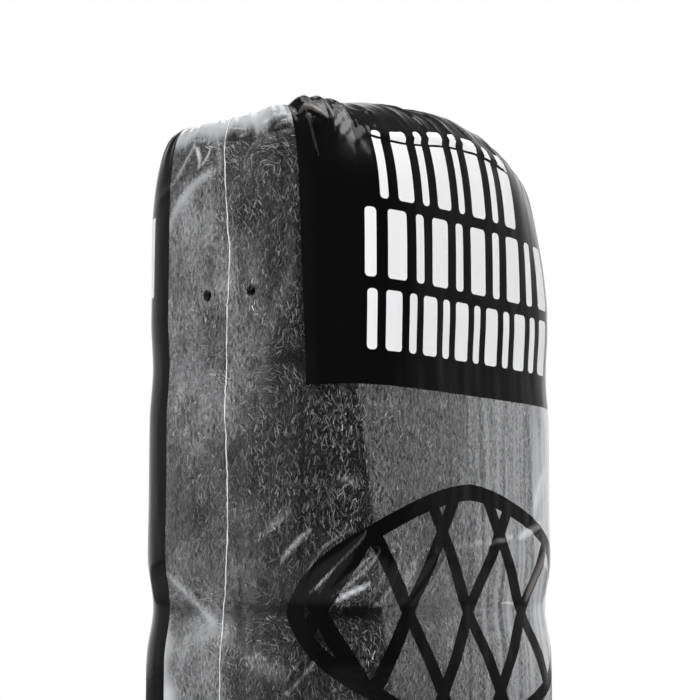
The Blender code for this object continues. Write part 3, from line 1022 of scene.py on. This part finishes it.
def seatInStack(x, y, z, rowCentre, tier):
    # Squeezes points of a pad into the outline, the shoulders and the base.
    tierBase = skin + tier * tierPitch
    waist = waistAt(z)
    x = x * (1 - waist / woolHalfX)
    limit = halfDepthAt(x, woolHalfX - waist, woolHalfY - waist)
    innerEdge = abs(rowCentre) - padThick / 2
    outerEdge = abs(rowCentre) + padThick / 2
    side = 1.0 if rowCentre > 0 else -1.0
    out = y * side
    squeezed = innerEdge + (out - innerEdge) * (limit - innerEdge) / padThick
    out = np.where(limit < outerEdge, squeezed, out)
    y = out * side
    share = planShare(x, y, woolHalfX, woolHalfY)
    up = z - tierBase
    if tier == pack["tiers"] - 1:
        z = tierBase + up * (woolTopAt(x, y) - tierBase) / padHeight
        sink = farSink(alongAt(x, y), z) * bag["woolSink"] * share**2
        sink = sink / np.maximum(np.hypot(x, y), 1.0)
        x, y = x * (1 - sink), y * (1 - sink)
    if tier == 0:
        lift = baseHeight(share)
        z = tierBase + lift + up * (padHeight - lift) / padHeight
    return np.stack([x, y, z + jointWave(x, y, z)], 1)


def jointWave(x, y, z):
    # Where two tiers meet, the pads of both follow the same uneven face.
    total = 0.0
    for joint in range(1, pack["tiers"]):
        height = skin + joint * tierPitch - pack["padGap"] / 2
        wave = np.sin(x * 0.21 + joint * 2.1) * np.cos(y * 0.17 + joint)
        wave = wave + 0.5 * np.sin(y * 0.31 + x * 0.08) + 1.1 * np.sin((x + 0.8 * y) * 0.04 + 0.4)
        total = total + pad["jointWave"] * wave * np.exp(-(((z - height) / pad["waveReach"]) ** 2))
    return total


def padStations(halfLength):
    # Sections along a pad: distance from its middle, thickness and end shrink.
    half = [(share * halfLength, 1.0) for share in pad["stations"]]
    half += [(halfLength - back, thin) for back, thin in pad["edge"]]
    return [(-x, thin) for x, thin in half[:0:-1]] + half


def padMesh(row, tier):
    line, distance = rollPath()
    halfLength = padHalfLength(row)
    rowCentre = (row - (pack["rows"] - 1) / 2) * rowPitch
    tierBase = skin + tier * tierPitch
    halfLayer = (padThick / 4 - pack["layerGap"]) / 2
    normalY, normalZ = -np.sin(line[:, 2]), np.cos(line[:, 2])
    tangent = np.stack([np.zeros(len(line)), np.cos(line[:, 2]), np.sin(line[:, 2])], 1)
    seed = row * 7 + tier * 31 + 11
    rings, places, flows = [], [], []
    for x, thin in padStations(halfLength):
        inwards = max(0.0, abs(x) - halfLength + 4.0) / 4.0
        scale = 1.0 - pad["endShrink"] * inwards**2
        sides = []
        for side in (1, -1):
            y = line[:, 0] + side * normalY * halfLayer * thin
            z = line[:, 1] + side * normalZ * halfLayer * thin
            order = slice(None) if side > 0 else slice(None, None, -1)
            sides.append((y[order], z[order]))
        y = np.concatenate([s[0] for s in sides]) * scale
        z = np.concatenate([s[1] for s in sides])
        z = tierBase + padHeight / 2 + (z - padHeight / 2) * scale
        ways = np.concatenate([distance, distance[::-1]])
        xs = np.full_like(y, x)
        raw = np.stack([np.full_like(ways, seed * 10.0), ways * 0.35, xs * 0.2], 1)
        uneven = fieldNoise(raw, (1, 1, 1), seed) * pad["edgeUneven"] * inwards
        xs = xs - np.sign(x) * (0.4 * inwards + np.abs(uneven))
        ring = seatInStack(xs, rowCentre + y, z, rowCentre, tier)
        lump = fieldNoise(ring, (0.12, 0.12, 0.07), seed, 2) * pad["lump"] - pad["lump"] * 1.3
        shrink = 1.0 + lump / 42.0
        ring[:, 0] *= shrink
        ring[:, 1] *= shrink
        rings.append(ring)
        places.append(np.stack([ways / 10, xs / 10], 1))
        flows.append(np.concatenate([tangent, tangent[::-1]]))
    return np.array(rings), np.array(places), np.array(flows)


def outerMask(points, tier):
    # Where strands show: near the outline of the pack and on its top. The strand tree clears them at
    # the vents.
    share = planShare(points[:, 0], points[:, 1], woolHalfX - waistAt(points[:, 2]),
                      woolHalfY - waistAt(points[:, 2]))
    mask = smooth(1 - pad["outerBand"] / woolHalfY, 1 - pad["outerBand"] / woolHalfY + 0.02, share)
    if tier == pack["tiers"] - 1:
        under = woolTopAt(points[:, 0], points[:, 1]) - points[:, 2]
        mask = np.maximum(mask, smooth(pad["topBand"], pad["topBand"] / 2, under))
    front = (points[:, 1] < 4 - woolHalfY) & (points[:, 2] > printing["frontLow"] + 4)
    back = points[:, 1] > woolHalfY - 4
    mask = np.where(front | back, mask * pad["hiddenShare"], mask)
    return mask * smooth(2.0, 6.0, points[:, 2])


def makePad(row, tier, material):
    rings, places, flows = padMesh(row, tier)
    stations, count = rings.shape[:2]
    half = count // 2
    builder = bmesh.new()
    uvLayer = builder.loops.layers.uv.new("woolPlace")
    outerLayer = builder.verts.layers.float.new("outer")
    flowLayer = builder.verts.layers.float_vector.new("flow")
    masks = [outerMask(ring, tier) for ring in rings]
    points = []
    for s in range(stations):
        line = []
        for i in range(count):
            vertex = builder.verts.new(rings[s, i] * mm)
            vertex[outerLayer] = float(masks[s][i])
            vertex[flowLayer] = flows[s, i]
            line.append(vertex)
        points.append(line)

    def addFace(corners):
        face = builder.faces.new([points[s][i] for s, i in corners])
        for loop, (s, i) in zip(face.loops, corners):
            loop[uvLayer].uv = places[s, i]

    for s in range(stations - 1):
        for i in range(count):
            j = (i + 1) % count
            addFace([(s, i), (s + 1, i), (s + 1, j), (s, j)])
    for i in range(half - 1):
        a, b = count - 1 - i, count - 2 - i
        addFace([(0, i), (0, i + 1), (0, b), (0, a)])
        last = stations - 1
        addFace([(last, i + 1), (last, i), (last, a), (last, b)])
    bmesh.ops.recalc_face_normals(builder, faces=builder.faces)
    mesh = bpy.data.meshes.new("pad")
    builder.to_mesh(mesh)
    builder.free()
    mesh.shade_smooth()
    mesh.materials.append(material)
    return mesh


# Loose strands of wool over the pads, each a narrow bent strip
strands = {
    "density": 3080000.0,  # in each square metre
    "shortest": 0.8 * mm,
    "longest": 2.6 * mm,
    "thinnest": 0.06 * mm,
    "widest": 0.25 * mm,
    "jitter": 0.62,
    "tilt": 0.55,
    "curl": 1.3 * mm,
    "curlScale": 420.0,
    "lift": 0.30 * mm,
    "points": 2,
}


def ventMask(tree, spot, reach):
    # 1 within reach of a vent hole, on both narrow sides.
    parts = place(tree, "ShaderNodeSeparateXYZ", vector=spot).outputs
    side = calc(tree, "SIGN", parts["X"])
    across = calc(tree, "MULTIPLY", calc(tree, "MULTIPLY", parts["Y"], side), -1.0)
    offUp = calc(tree, "SUBTRACT", parts["Z"], bag["ventUp"] * mm)
    upSquare = calc(tree, "MULTIPLY", offUp, offUp)
    masks = []
    for step in bag["ventAlong"]:
        offAcross = calc(tree, "SUBTRACT", across, (pack["wrapShift"] - step) * mm)
        square = calc(tree, "ADD", calc(tree, "MULTIPLY", offAcross, offAcross), upSquare)
        masks.append(calc(tree, "LESS_THAN", square, (reach * mm) ** 2))
    return calc(tree, "MAXIMUM", *masks)


def strandTree(material):
    tree, given, result = newGroup(
        "wool strands",
        "GeometryNodeTree",
        [
            ("Geometry", "NodeSocketGeometry"),
            ("Density", "NodeSocketFloat", strands["density"]),
            ("Shortest", "NodeSocketFloat", strands["shortest"]),
            ("Longest", "NodeSocketFloat", strands["longest"]),
            ("Thinnest", "NodeSocketFloat", strands["thinnest"]),
            ("Widest", "NodeSocketFloat", strands["widest"]),
            ("Jitter", "NodeSocketFloat", strands["jitter"]),
            ("Tilt", "NodeSocketFloat", strands["tilt"]),
            ("Lift", "NodeSocketFloat", strands["lift"]),
            ("Curl", "NodeSocketFloat", strands["curl"]),
            ("Seed", "NodeSocketInt", 1),
        ],
        [("Geometry", "NodeSocketGeometry")],
    )
    g = given.outputs

    def chance(low, high, step):
        kind = "FLOAT_VECTOR" if isinstance(low, tuple) else "FLOAT"
        seed = calc(tree, "MULTIPLY_ADD", g["Seed"], 7.0, float(step))
        node = place(tree, "FunctionNodeRandomValue", {"data_type": kind}, min=low, max=high, seed=seed)
        return node.outputs[0 if kind == "FLOAT_VECTOR" else 1]

    outer = place(tree, "GeometryNodeInputNamedAttribute", {"data_type": "FLOAT"}, name="outer")
    flow = place(tree, "GeometryNodeInputNamedAttribute", {"data_type": "FLOAT_VECTOR"}, name="flow")
    density = calc(tree, "MULTIPLY", outer.outputs[0], g["Density"])
    spread = place(tree, "GeometryNodeDistributePointsOnFaces", {"distribute_method": "RANDOM"},
                   mesh=g["Geometry"], density=density, seed=g["Seed"])
    normal = spread.outputs["Normal"]
    where = place(tree, "GeometryNodeInputPosition").outputs[0]
    kept = place(tree, "GeometryNodeDeleteGeometry", geometry=spread.outputs["Points"],
                 selection=ventMask(tree, where, bag["ventRadius"] * 1.5))
    raised = place(tree, "GeometryNodeSetPosition", geometry=kept.outputs[0],
                   offset=vectorCalc(tree, "SCALE", normal, scale=chance(0.0, g["Lift"], 1)))
    # A random tone for each strand; the brightest strands are painted glints.
    tone = calc(tree, "POWER", chance(0.0, 1.0, 2), 2.5)
    toned = place(tree, "GeometryNodeStoreNamedAttribute", {"data_type": "FLOAT", "domain": "POINT"},
                  geometry=raised.outputs[0], name="tone", value=tone)
    shaken = vectorCalc(tree, "SCALE", chance((-1, -1, -1), (1, 1, 1), 3), scale=g["Jitter"])
    course = vectorCalc(tree, "ADD", flow.outputs[0], shaken)
    leaning = vectorCalc(tree, "SCALE", chance((-1, -1, -1), (1, 1, 1), 4), scale=g["Tilt"])
    face = vectorCalc(tree, "ADD", normal, leaning)
    turn = place(tree, "FunctionNodeAlignRotationToVector", {"axis": "Z"}, vector=face)
    turn = place(tree, "FunctionNodeAlignRotationToVector", {"axis": "Y", "pivot_axis": "Z"},
                 rotation=turn.outputs[0], vector=course)
    width = mixValue(tree, tone, g["Thinnest"], g["Widest"])
    size = place(tree, "ShaderNodeCombineXYZ", x=width, y=chance(g["Shortest"], g["Longest"], 5), z=1.0)
    strip = place(tree, "GeometryNodeMeshGrid", sizeX=1.0, sizeY=1.0, verticesX=2,
                  verticesY=strands["points"])
    laid = place(tree, "GeometryNodeInstanceOnPoints", points=toned.outputs[0],
                 instance=strip.outputs[0], rotation=turn.outputs[0], scale=size.outputs[0])
    real = place(tree, "GeometryNodeRealizeInstances", geometry=laid.outputs[0])
    shape = place(tree, "ShaderNodeTexNoise", vector=where, scale=strands["curlScale"], detail=1.0)
    swing = vectorCalc(tree, "SUBTRACT", shape.outputs["Color"], (0.5, 0.5, 0.5))
    moved = place(tree, "GeometryNodeSetPosition", geometry=real.outputs[0],
                  offset=vectorCalc(tree, "SCALE", swing, scale=g["Curl"]))
    painted = place(tree, "GeometryNodeSetMaterial", geometry=moved.outputs[0])
    painted.inputs["Material"].default_value = material
    join = tree.nodes.new("GeometryNodeJoinGeometry")
    tree.links.new(g["Geometry"], join.inputs[0])
    tree.links.new(painted.outputs[0], join.inputs[0])
    wire(tree, join.outputs[0], result.inputs[0])
    return tree


def bakeNodes(thing, tree, name, **inputs):
    # Runs a geometry tree on an object and keeps the result as a plain mesh.
    modifier = thing.modifiers.new("nodes", "NODES")
    modifier.node_group = tree
    for item in tree.interface.items_tree:
        if item.item_type == "SOCKET" and item.in_out == "INPUT":
            plain = item.name[:1].lower() + item.name[1:].replace(" ", "")
            if plain in inputs:
                modifier[item.identifier] = inputs[plain]
    graph = bpy.context.evaluated_depsgraph_get()
    mesh = bpy.data.meshes.new_from_object(thing.evaluated_get(graph),
                                           preserve_all_data_layers=True, depsgraph=graph)
    thing.modifiers.remove(modifier)
    made = bpy.data.objects.new(name, mesh)
    mesh.name = name
    bpy.context.scene.collection.objects.link(made)
    bpy.data.objects.remove(thing)
    return made


woolFinish = {
    "dark": (0.002, 0.002, 0.002, 1),
    "light": (0.24, 0.24, 0.243, 1),
    "roughness": 0.55,
    "metallic": 0.35,
    "strandDark": (0.012, 0.012, 0.012, 1),
    # the strands run from dark to a painted glint at their brightest
    "strandLight": (0.93, 0.93, 0.94, 1),
    "strandRoughness": 0.42,
    "strandMetallic": 0.6,
    # painted shade in the wool round the vent holes
    "pit": (0.001, 0.001, 0.001, 1),
    "rust": (0.075, 0.052, 0.040, 1),
}


def cloudGroup():
    # Slow changes of tone through the wool, and a trace of rust in places.
    tree, given, result = newGroup(
        "wool clouds",
        "ShaderNodeTree",
        [("Place", "NodeSocketVector")],
        [("Tone", "NodeSocketFloat"), ("Rust", "NodeSocketFloat")],
    )
    slow = place(tree, "ShaderNodeTexNoise", vector=given.outputs[0], scale=70.0, detail=2.0)
    tone = place(tree, "ShaderNodeMapRange", value=slow.outputs[0], fromMin=0.3, fromMax=0.7,
                 toMin=0.55, toMax=1.35)
    spots = place(tree, "ShaderNodeTexNoise", vector=given.outputs[0], scale=34.0, detail=3.0)
    rust = place(tree, "ShaderNodeMapRange", value=spots.outputs[0], fromMin=0.60, fromMax=0.74,
                 toMin=0.0, toMax=0.45)
    wire(tree, tone.outputs[0], result.inputs["Tone"])
    wire(tree, rust.outputs[0], result.inputs["Rust"])
    return tree


def makeWoolMaterial(clouds):
    material, tree, shader = newMaterial("matted wool")
    uv = place(tree, "ShaderNodeUVMap", {"uv_map": "woolPlace"}).outputs[0]
    spot = place(tree, "ShaderNodeTexCoord").outputs["Object"]
    warp = place(tree, "ShaderNodeTexNoise", vector=uv, scale=1.6, detail=2.0)
    bent = vectorCalc(tree, "ADD", uv, vectorCalc(tree, "SCALE", warp.outputs["Color"], scale=0.55))
    stretched = vectorCalc(tree, "MULTIPLY", bent, (3.4, 13.0, 1.0))
    hair = place(tree, "ShaderNodeTexNoise", vector=stretched, scale=2.6, detail=4.0, roughness=0.7)
    mat = place(tree, "ShaderNodeTexNoise", vector=spot, scale=1500.0, detail=2.0)
    both = calc(tree, "ADD", calc(tree, "MULTIPLY", hair.outputs[0], 0.6),
                calc(tree, "MULTIPLY", mat.outputs[0], 0.4))
    streak = place(tree, "ShaderNodeMapRange", value=both, fromMin=0.485, fromMax=0.64)
    cloud = useGroup(tree, clouds, place=spot)
    amount = calc(tree, "MULTIPLY", streak.outputs[0], cloud.outputs["Tone"], clamp=True)
    colour = mixColour(tree, amount, woolFinish["dark"], woolFinish["light"])
    colour = mixColour(tree, cloud.outputs["Rust"], colour, woolFinish["rust"])
    # Painted shade in the wool round each vent hole, where the hole would be dark
    pit = ventMask(tree, spot, bag["ventRadius"] * 1.25)
    colour = mixColour(tree, pit, colour, woolFinish["pit"])
    bump = place(tree, "ShaderNodeBump", height=both, strength=0.9, distance=0.0006)
    wire(tree, colour, shader.inputs["Base Color"])
    wire(tree, bump.outputs[0], shader.inputs["Normal"])
    shader.inputs["Roughness"].default_value = woolFinish["roughness"]
    shader.inputs["Metallic"].default_value = woolFinish["metallic"]
    return material


def makeStrandMaterial(clouds):
    material, tree, shader = newMaterial("wool strands")
    tone = place(tree, "ShaderNodeAttribute", {"attribute_name": "tone"}).outputs["Fac"]
    spot = place(tree, "ShaderNodeTexCoord").outputs["Object"]
    cloud = useGroup(tree, clouds, place=spot)
    # The tone differs at random from strand to strand, and its bright end is a painted glint.
    amount = calc(tree, "MULTIPLY", tone, cloud.outputs["Tone"], clamp=True)
    colour = mixColour(tree, amount, woolFinish["strandDark"], woolFinish["strandLight"])
    colour = mixColour(tree, cloud.outputs["Rust"], colour, woolFinish["rust"])
    wire(tree, colour, shader.inputs["Base Color"])
    shader.inputs["Roughness"].default_value = woolFinish["strandRoughness"]
    shader.inputs["Metallic"].default_value = woolFinish["strandMetallic"]
    return material


# The two side welds
weld = {
    "radius": 0.15,
    "sides": 6,
    "waver": 0.8,
    "proud": 0.12,
    "step": 1.0,
    "from": 8.0,
    "to": 272.0,
    "driftUp": (8, 60, 107, 130, 137.5, 146, 163, 180, 196, 205, 219, 235, 252, 265),
    "drift": (0.0, 0.5, -0.95, -1.0, 0.5, 1.3, 1.1, 0.0, -0.1, 0.6, 1.5, -0.1, -0.95, 1.15),
    "colour": (0.96, 0.96, 0.96, 1),
    "grainColour": (0.74, 0.74, 0.74, 1),
}


def weldTree(material):
    # A bead that follows a path, wavers a little and changes in thickness.
    tree, given, result = newGroup(
        "weld bead",
        "GeometryNodeTree",
        [
            ("Geometry", "NodeSocketGeometry"),
            ("Radius", "NodeSocketFloat", weld["radius"] * mm),
            ("Waver", "NodeSocketFloat", weld["waver"] * mm),
            ("Step", "NodeSocketFloat", weld["step"] * mm),
        ],
        [("Geometry", "NodeSocketGeometry")],
    )
    g = given.outputs
    parted = place(tree, "GeometryNodeResampleCurve", {"mode": "LENGTH"}, curve=g["Geometry"],
                   length=g["Step"])
    where = place(tree, "GeometryNodeInputPosition")
    small = place(tree, "ShaderNodeTexNoise", vector=where.outputs[0], scale=420.0, detail=1.0)
    swing = vectorCalc(tree, "SUBTRACT", small.outputs["Color"], (0.5, 0.5, 0.5))
    swing = vectorCalc(tree, "MULTIPLY", swing, (0.0, 1.0, 0.0))
    moved = place(tree, "GeometryNodeSetPosition", geometry=parted.outputs[0],
                  offset=vectorCalc(tree, "SCALE", swing, scale=g["Waver"]))
    thick = place(tree, "ShaderNodeMapRange", value=small.outputs[0], fromMin=0.3, fromMax=0.7,
                  toMin=0.55, toMax=1.4)
    sized = place(tree, "GeometryNodeSetCurveRadius", curve=moved.outputs[0], radius=thick.outputs[0])
    ring = place(tree, "GeometryNodeCurvePrimitiveCircle", resolution=weld["sides"],
                 radius=g["Radius"])
    tube = place(tree, "GeometryNodeCurveToMesh", curve=sized.outputs[0],
                 profileCurve=ring.outputs[0], fillCaps=True)
    if "Scale" in tube.inputs:
        wire(tree, thick.outputs[0], tube.inputs["Scale"])
    real = place(tree, "GeometryNodeRealizeInstances", geometry=tube.outputs[0])
    smoothed = place(tree, "GeometryNodeSetShadeSmooth", geometry=real.outputs[0])
    painted = place(tree, "GeometryNodeSetMaterial", geometry=smoothed.outputs[0])
    painted.inputs["Material"].default_value = material
    wire(tree, painted.outputs[0], result.inputs[0])
    return tree


def makeWeldMaterial():
    material, tree, shader = newMaterial("welded film edge")
    spot = place(tree, "ShaderNodeTexCoord").outputs["Object"]
    grain = place(tree, "ShaderNodeTexNoise", vector=spot, scale=700.0, detail=2.0)
    rough = place(tree, "ShaderNodeMapRange", value=grain.outputs[0], fromMin=0.3, fromMax=0.7,
                  toMin=0.2, toMax=0.5)
    tint = mixColour(tree, grain.outputs[0], weld["colour"], weld["grainColour"])
    wire(tree, tint, shader.inputs["Base Color"])
    wire(tree, rough.outputs[0], shader.inputs["Roughness"])
    return material


def makeWeld(name, centre, along, ups, grid, tree):
    # The path runs up the film at the weld's own place.
    outwards = -1.0 if centre == 0 else 1.0
    path = []
    for j in np.where((ups > weld["from"]) & (ups < weld["to"]))[0]:
        shift = np.interp(ups[j], weld["driftUp"], weld["drift"])
        spot = np.interp(centre + max(shift, 0.0 if centre else shift), along, np.arange(len(along)))
        a, share = int(spot), spot % 1
        point = grid[j, a] * (1 - share) + grid[j, (a + 1) % len(along)] * share
        path.append(point + (outwards * weld["proud"], 0, 0))
    curve = bpy.data.curves.new(name, "CURVE")
    curve.dimensions = "3D"
    spline = curve.splines.new("POLY")
    spline.points.add(len(path) - 1)
    for target, point in zip(spline.points, path):
        target.co = (*(np.array(point) * mm), 1)
    thing = bpy.data.objects.new(name + "_path", curve)
    bpy.context.scene.collection.objects.link(thing)
    return bakeNodes(thing, tree, name)


# Camera, lights and surroundings
camera = {
    "azimuth": 51.6,
    "distance": 567.0,
    "height": 128.0,
    "sideways": 0.9,
    "lens": 105.0,
    "rise": 260.0,  # how far the eye's level lies under the middle of the picture, in pixels
    "depth": 2022.0,
}


def makeCamera():
    data = bpy.data.cameras.new("camera")
    data.lens = camera["lens"]
    data.sensor_width = 36.0
    data.clip_start = 0.01
    data.clip_end = 30.0
    thing = bpy.data.objects.new("camera", data)
    turn = math.radians(camera["azimuth"])
    ahead = Vector((math.sin(turn), math.cos(turn), 0))
    right = Vector((math.cos(turn), -math.sin(turn), 0))
    at = -ahead * camera["distance"] - right * camera["sideways"]
    thing.location = (at + Vector((0, 0, camera["height"]))) * mm
    tilt = math.atan(camera["rise"] / camera["depth"])
    look = ahead * math.cos(tilt) + Vector((0, 0, math.sin(tilt)))
    thing.rotation_mode = "QUATERNION"
    thing.rotation_quaternion = look.to_track_quat("-Z", "Y")
    bpy.context.scene.collection.objects.link(thing)
    bpy.context.scene.camera = thing


lamps = {
    # name: direction from the pack, distance, size, strength
    "key": ((-0.32, -0.42, 0.85), 1.8, 1.2, 17.0),
    "front": ((-0.10, -0.36, 0.93), 1.8, 1.8, 23.0),
    "left": ((-0.62, 0.12, 0.77), 1.8, 1.2, 12.5),
    "back": ((0.10, 0.60, 0.80), 1.8, 1.3, 9.5),
}


def makeLamps():
    target = Vector((0, 0, 0.14))
    for name, (direction, distance, size, power) in lamps.items():
        data = bpy.data.lights.new(name, "AREA")
        data.shape = "SQUARE"
        data.size = size
        data.energy = power
        thing = bpy.data.objects.new("lamp_" + name, data)
        way = Vector(direction).normalized()
        thing.location = target + way * distance
        thing.rotation_mode = "QUATERNION"
        thing.rotation_quaternion = (-way).to_track_quat("-Z", "Y")
        bpy.context.scene.collection.objects.link(thing)


studio = {
    "dark": 0.03,
    "overhead": 0.14,
    "leftWall": (-0.35, 0.937, 0.0),
    "leftLevel": 0.22,
    "leftFalloff": 6.0,
    "whiteWall": (0.784, 0.621, 0.0),  # the white backdrop, with the dark side opposite
    "falloff": 4.1,
    "floorSize": 8.0,
    "floorColour": (0.84, 0.84, 0.84, 1),
    "floorMirrored": (0.20, 0.20, 0.20, 1),
    "whiteFrom": 0.28,
    "whiteTo": 0.95,
}


def makeWorld():
    # White to the camera. To the pack it is a pale studio, dark behind the camera.
    world = bpy.data.worlds.new("studio")
    bpy.context.scene.world = world
    world.use_nodes = True
    tree = world.node_tree
    background = tree.nodes["Background"]
    way = place(tree, "ShaderNodeTexCoord").outputs["Generated"]
    towards = vectorCalc(tree, "DOT_PRODUCT", way, Vector(studio["whiteWall"]))
    share = calc(tree, "MULTIPLY_ADD", towards, 0.5, 0.5)
    wall = calc(tree, "MAXIMUM", calc(tree, "POWER", share, studio["falloff"]), studio["dark"])
    aside = vectorCalc(tree, "DOT_PRODUCT", way, Vector(studio["leftWall"]))
    asideShare = calc(tree, "MULTIPLY_ADD", aside, 0.5, 0.5)
    left = calc(tree, "MULTIPLY", calc(tree, "POWER", asideShare, studio["leftFalloff"]),
                studio["leftLevel"])
    wall = calc(tree, "MAXIMUM", wall, left)
    height = place(tree, "ShaderNodeSeparateXYZ", vector=way).outputs["Z"]
    over = place(tree, "ShaderNodeMapRange", {"interpolation_type": "SMOOTHSTEP"}, value=height,
                 fromMin=0.35, fromMax=0.7)
    level = mixValue(tree, over.outputs[0], wall, studio["overhead"])
    seen = place(tree, "ShaderNodeLightPath").outputs["Is Camera Ray"]
    level = mixValue(tree, seen, level, 1.0)
    wire(tree, level, background.inputs["Strength"])
    background.inputs["Color"].default_value = (1, 1, 1, 1)


def makeFloor():
    mesh = bpy.data.meshes.new("floor")
    half = studio["floorSize"] / 2
    corners = [(-half, -half, 0), (half, -half, 0), (half, half, 0), (-half, half, 0)]
    mesh.from_pydata([(x, y, -0.0001) for x, y, z in corners], [], [(0, 1, 2, 3)])
    thing = bpy.data.objects.new("floor", mesh)
    bpy.context.scene.collection.objects.link(thing)
    material, tree, shader = newMaterial("pale floor")
    light = place(tree, "ShaderNodeLightPath").outputs
    tint = mixColour(tree, light["Is Glossy Ray"], studio["floorColour"], studio["floorMirrored"])
    wire(tree, tint, shader.inputs["Base Color"])
    shader.inputs["Roughness"].default_value = 0.7
    spot = place(tree, "ShaderNodeTexCoord").outputs["Object"]
    away = vectorCalc(tree, "LENGTH", spot)
    fade = place(tree, "ShaderNodeMapRange", {"interpolation_type": "SMOOTHSTEP"}, value=away,
                 fromMin=studio["whiteFrom"], fromMax=studio["whiteTo"])
    glow = place(tree, "ShaderNodeEmission", color=(1, 1, 1, 1), strength=1.0)
    mix = tree.nodes.new("ShaderNodeMixShader")
    wire(tree, calc(tree, "MULTIPLY", fade.outputs[0], light["Is Camera Ray"]), mix.inputs[0])
    wire(tree, shader.outputs[0], mix.inputs[1])
    wire(tree, glow.outputs[0], mix.inputs[2])
    wire(tree, mix.outputs[0], tree.nodes["Material Output"].inputs["Surface"])
    mesh.materials.append(material)


makeCamera()
makeLamps()
makeWorld()
makeFloor()
bpy.context.scene.view_settings.view_transform = "Standard"
print("camera, lamps and floor made")

clouds = cloudGroup()
bagThing, bagAlong, bagUps, bagPoints = makeBag(makeFilmMaterial())
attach(bagThing, "root")
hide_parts("film_bag")
print("bag made:", len(bagThing.data.polygons), "faces")

beads = weldTree(makeWeldMaterial())
for name, centre in (("weld_near", 0.0), ("weld_far", -halfRound)):
    thing = makeWeld(name, centre, bagAlong, bagUps, bagPoints, beads)
    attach(thing, "root")
print("welds made")

wool = makeWoolMaterial(clouds)
strandLayout = strandTree(makeStrandMaterial(clouds))
total = 0
for tier in range(pack["tiers"]):
    for row in range(pack["rows"]):
        name = f"pad_tier{tier + 1}_row{row + 1}"
        bare = bpy.data.objects.new(name + "_bare", makePad(row, tier, wool))
        bpy.context.scene.collection.objects.link(bare)
        thing = bakeNodes(bare, strandLayout, name + "_look", seed=tier * 10 + row + 1)
        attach(thing, "root")
        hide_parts(name)
        total += len(thing.data.polygons)
print("pads made:", total, "faces")
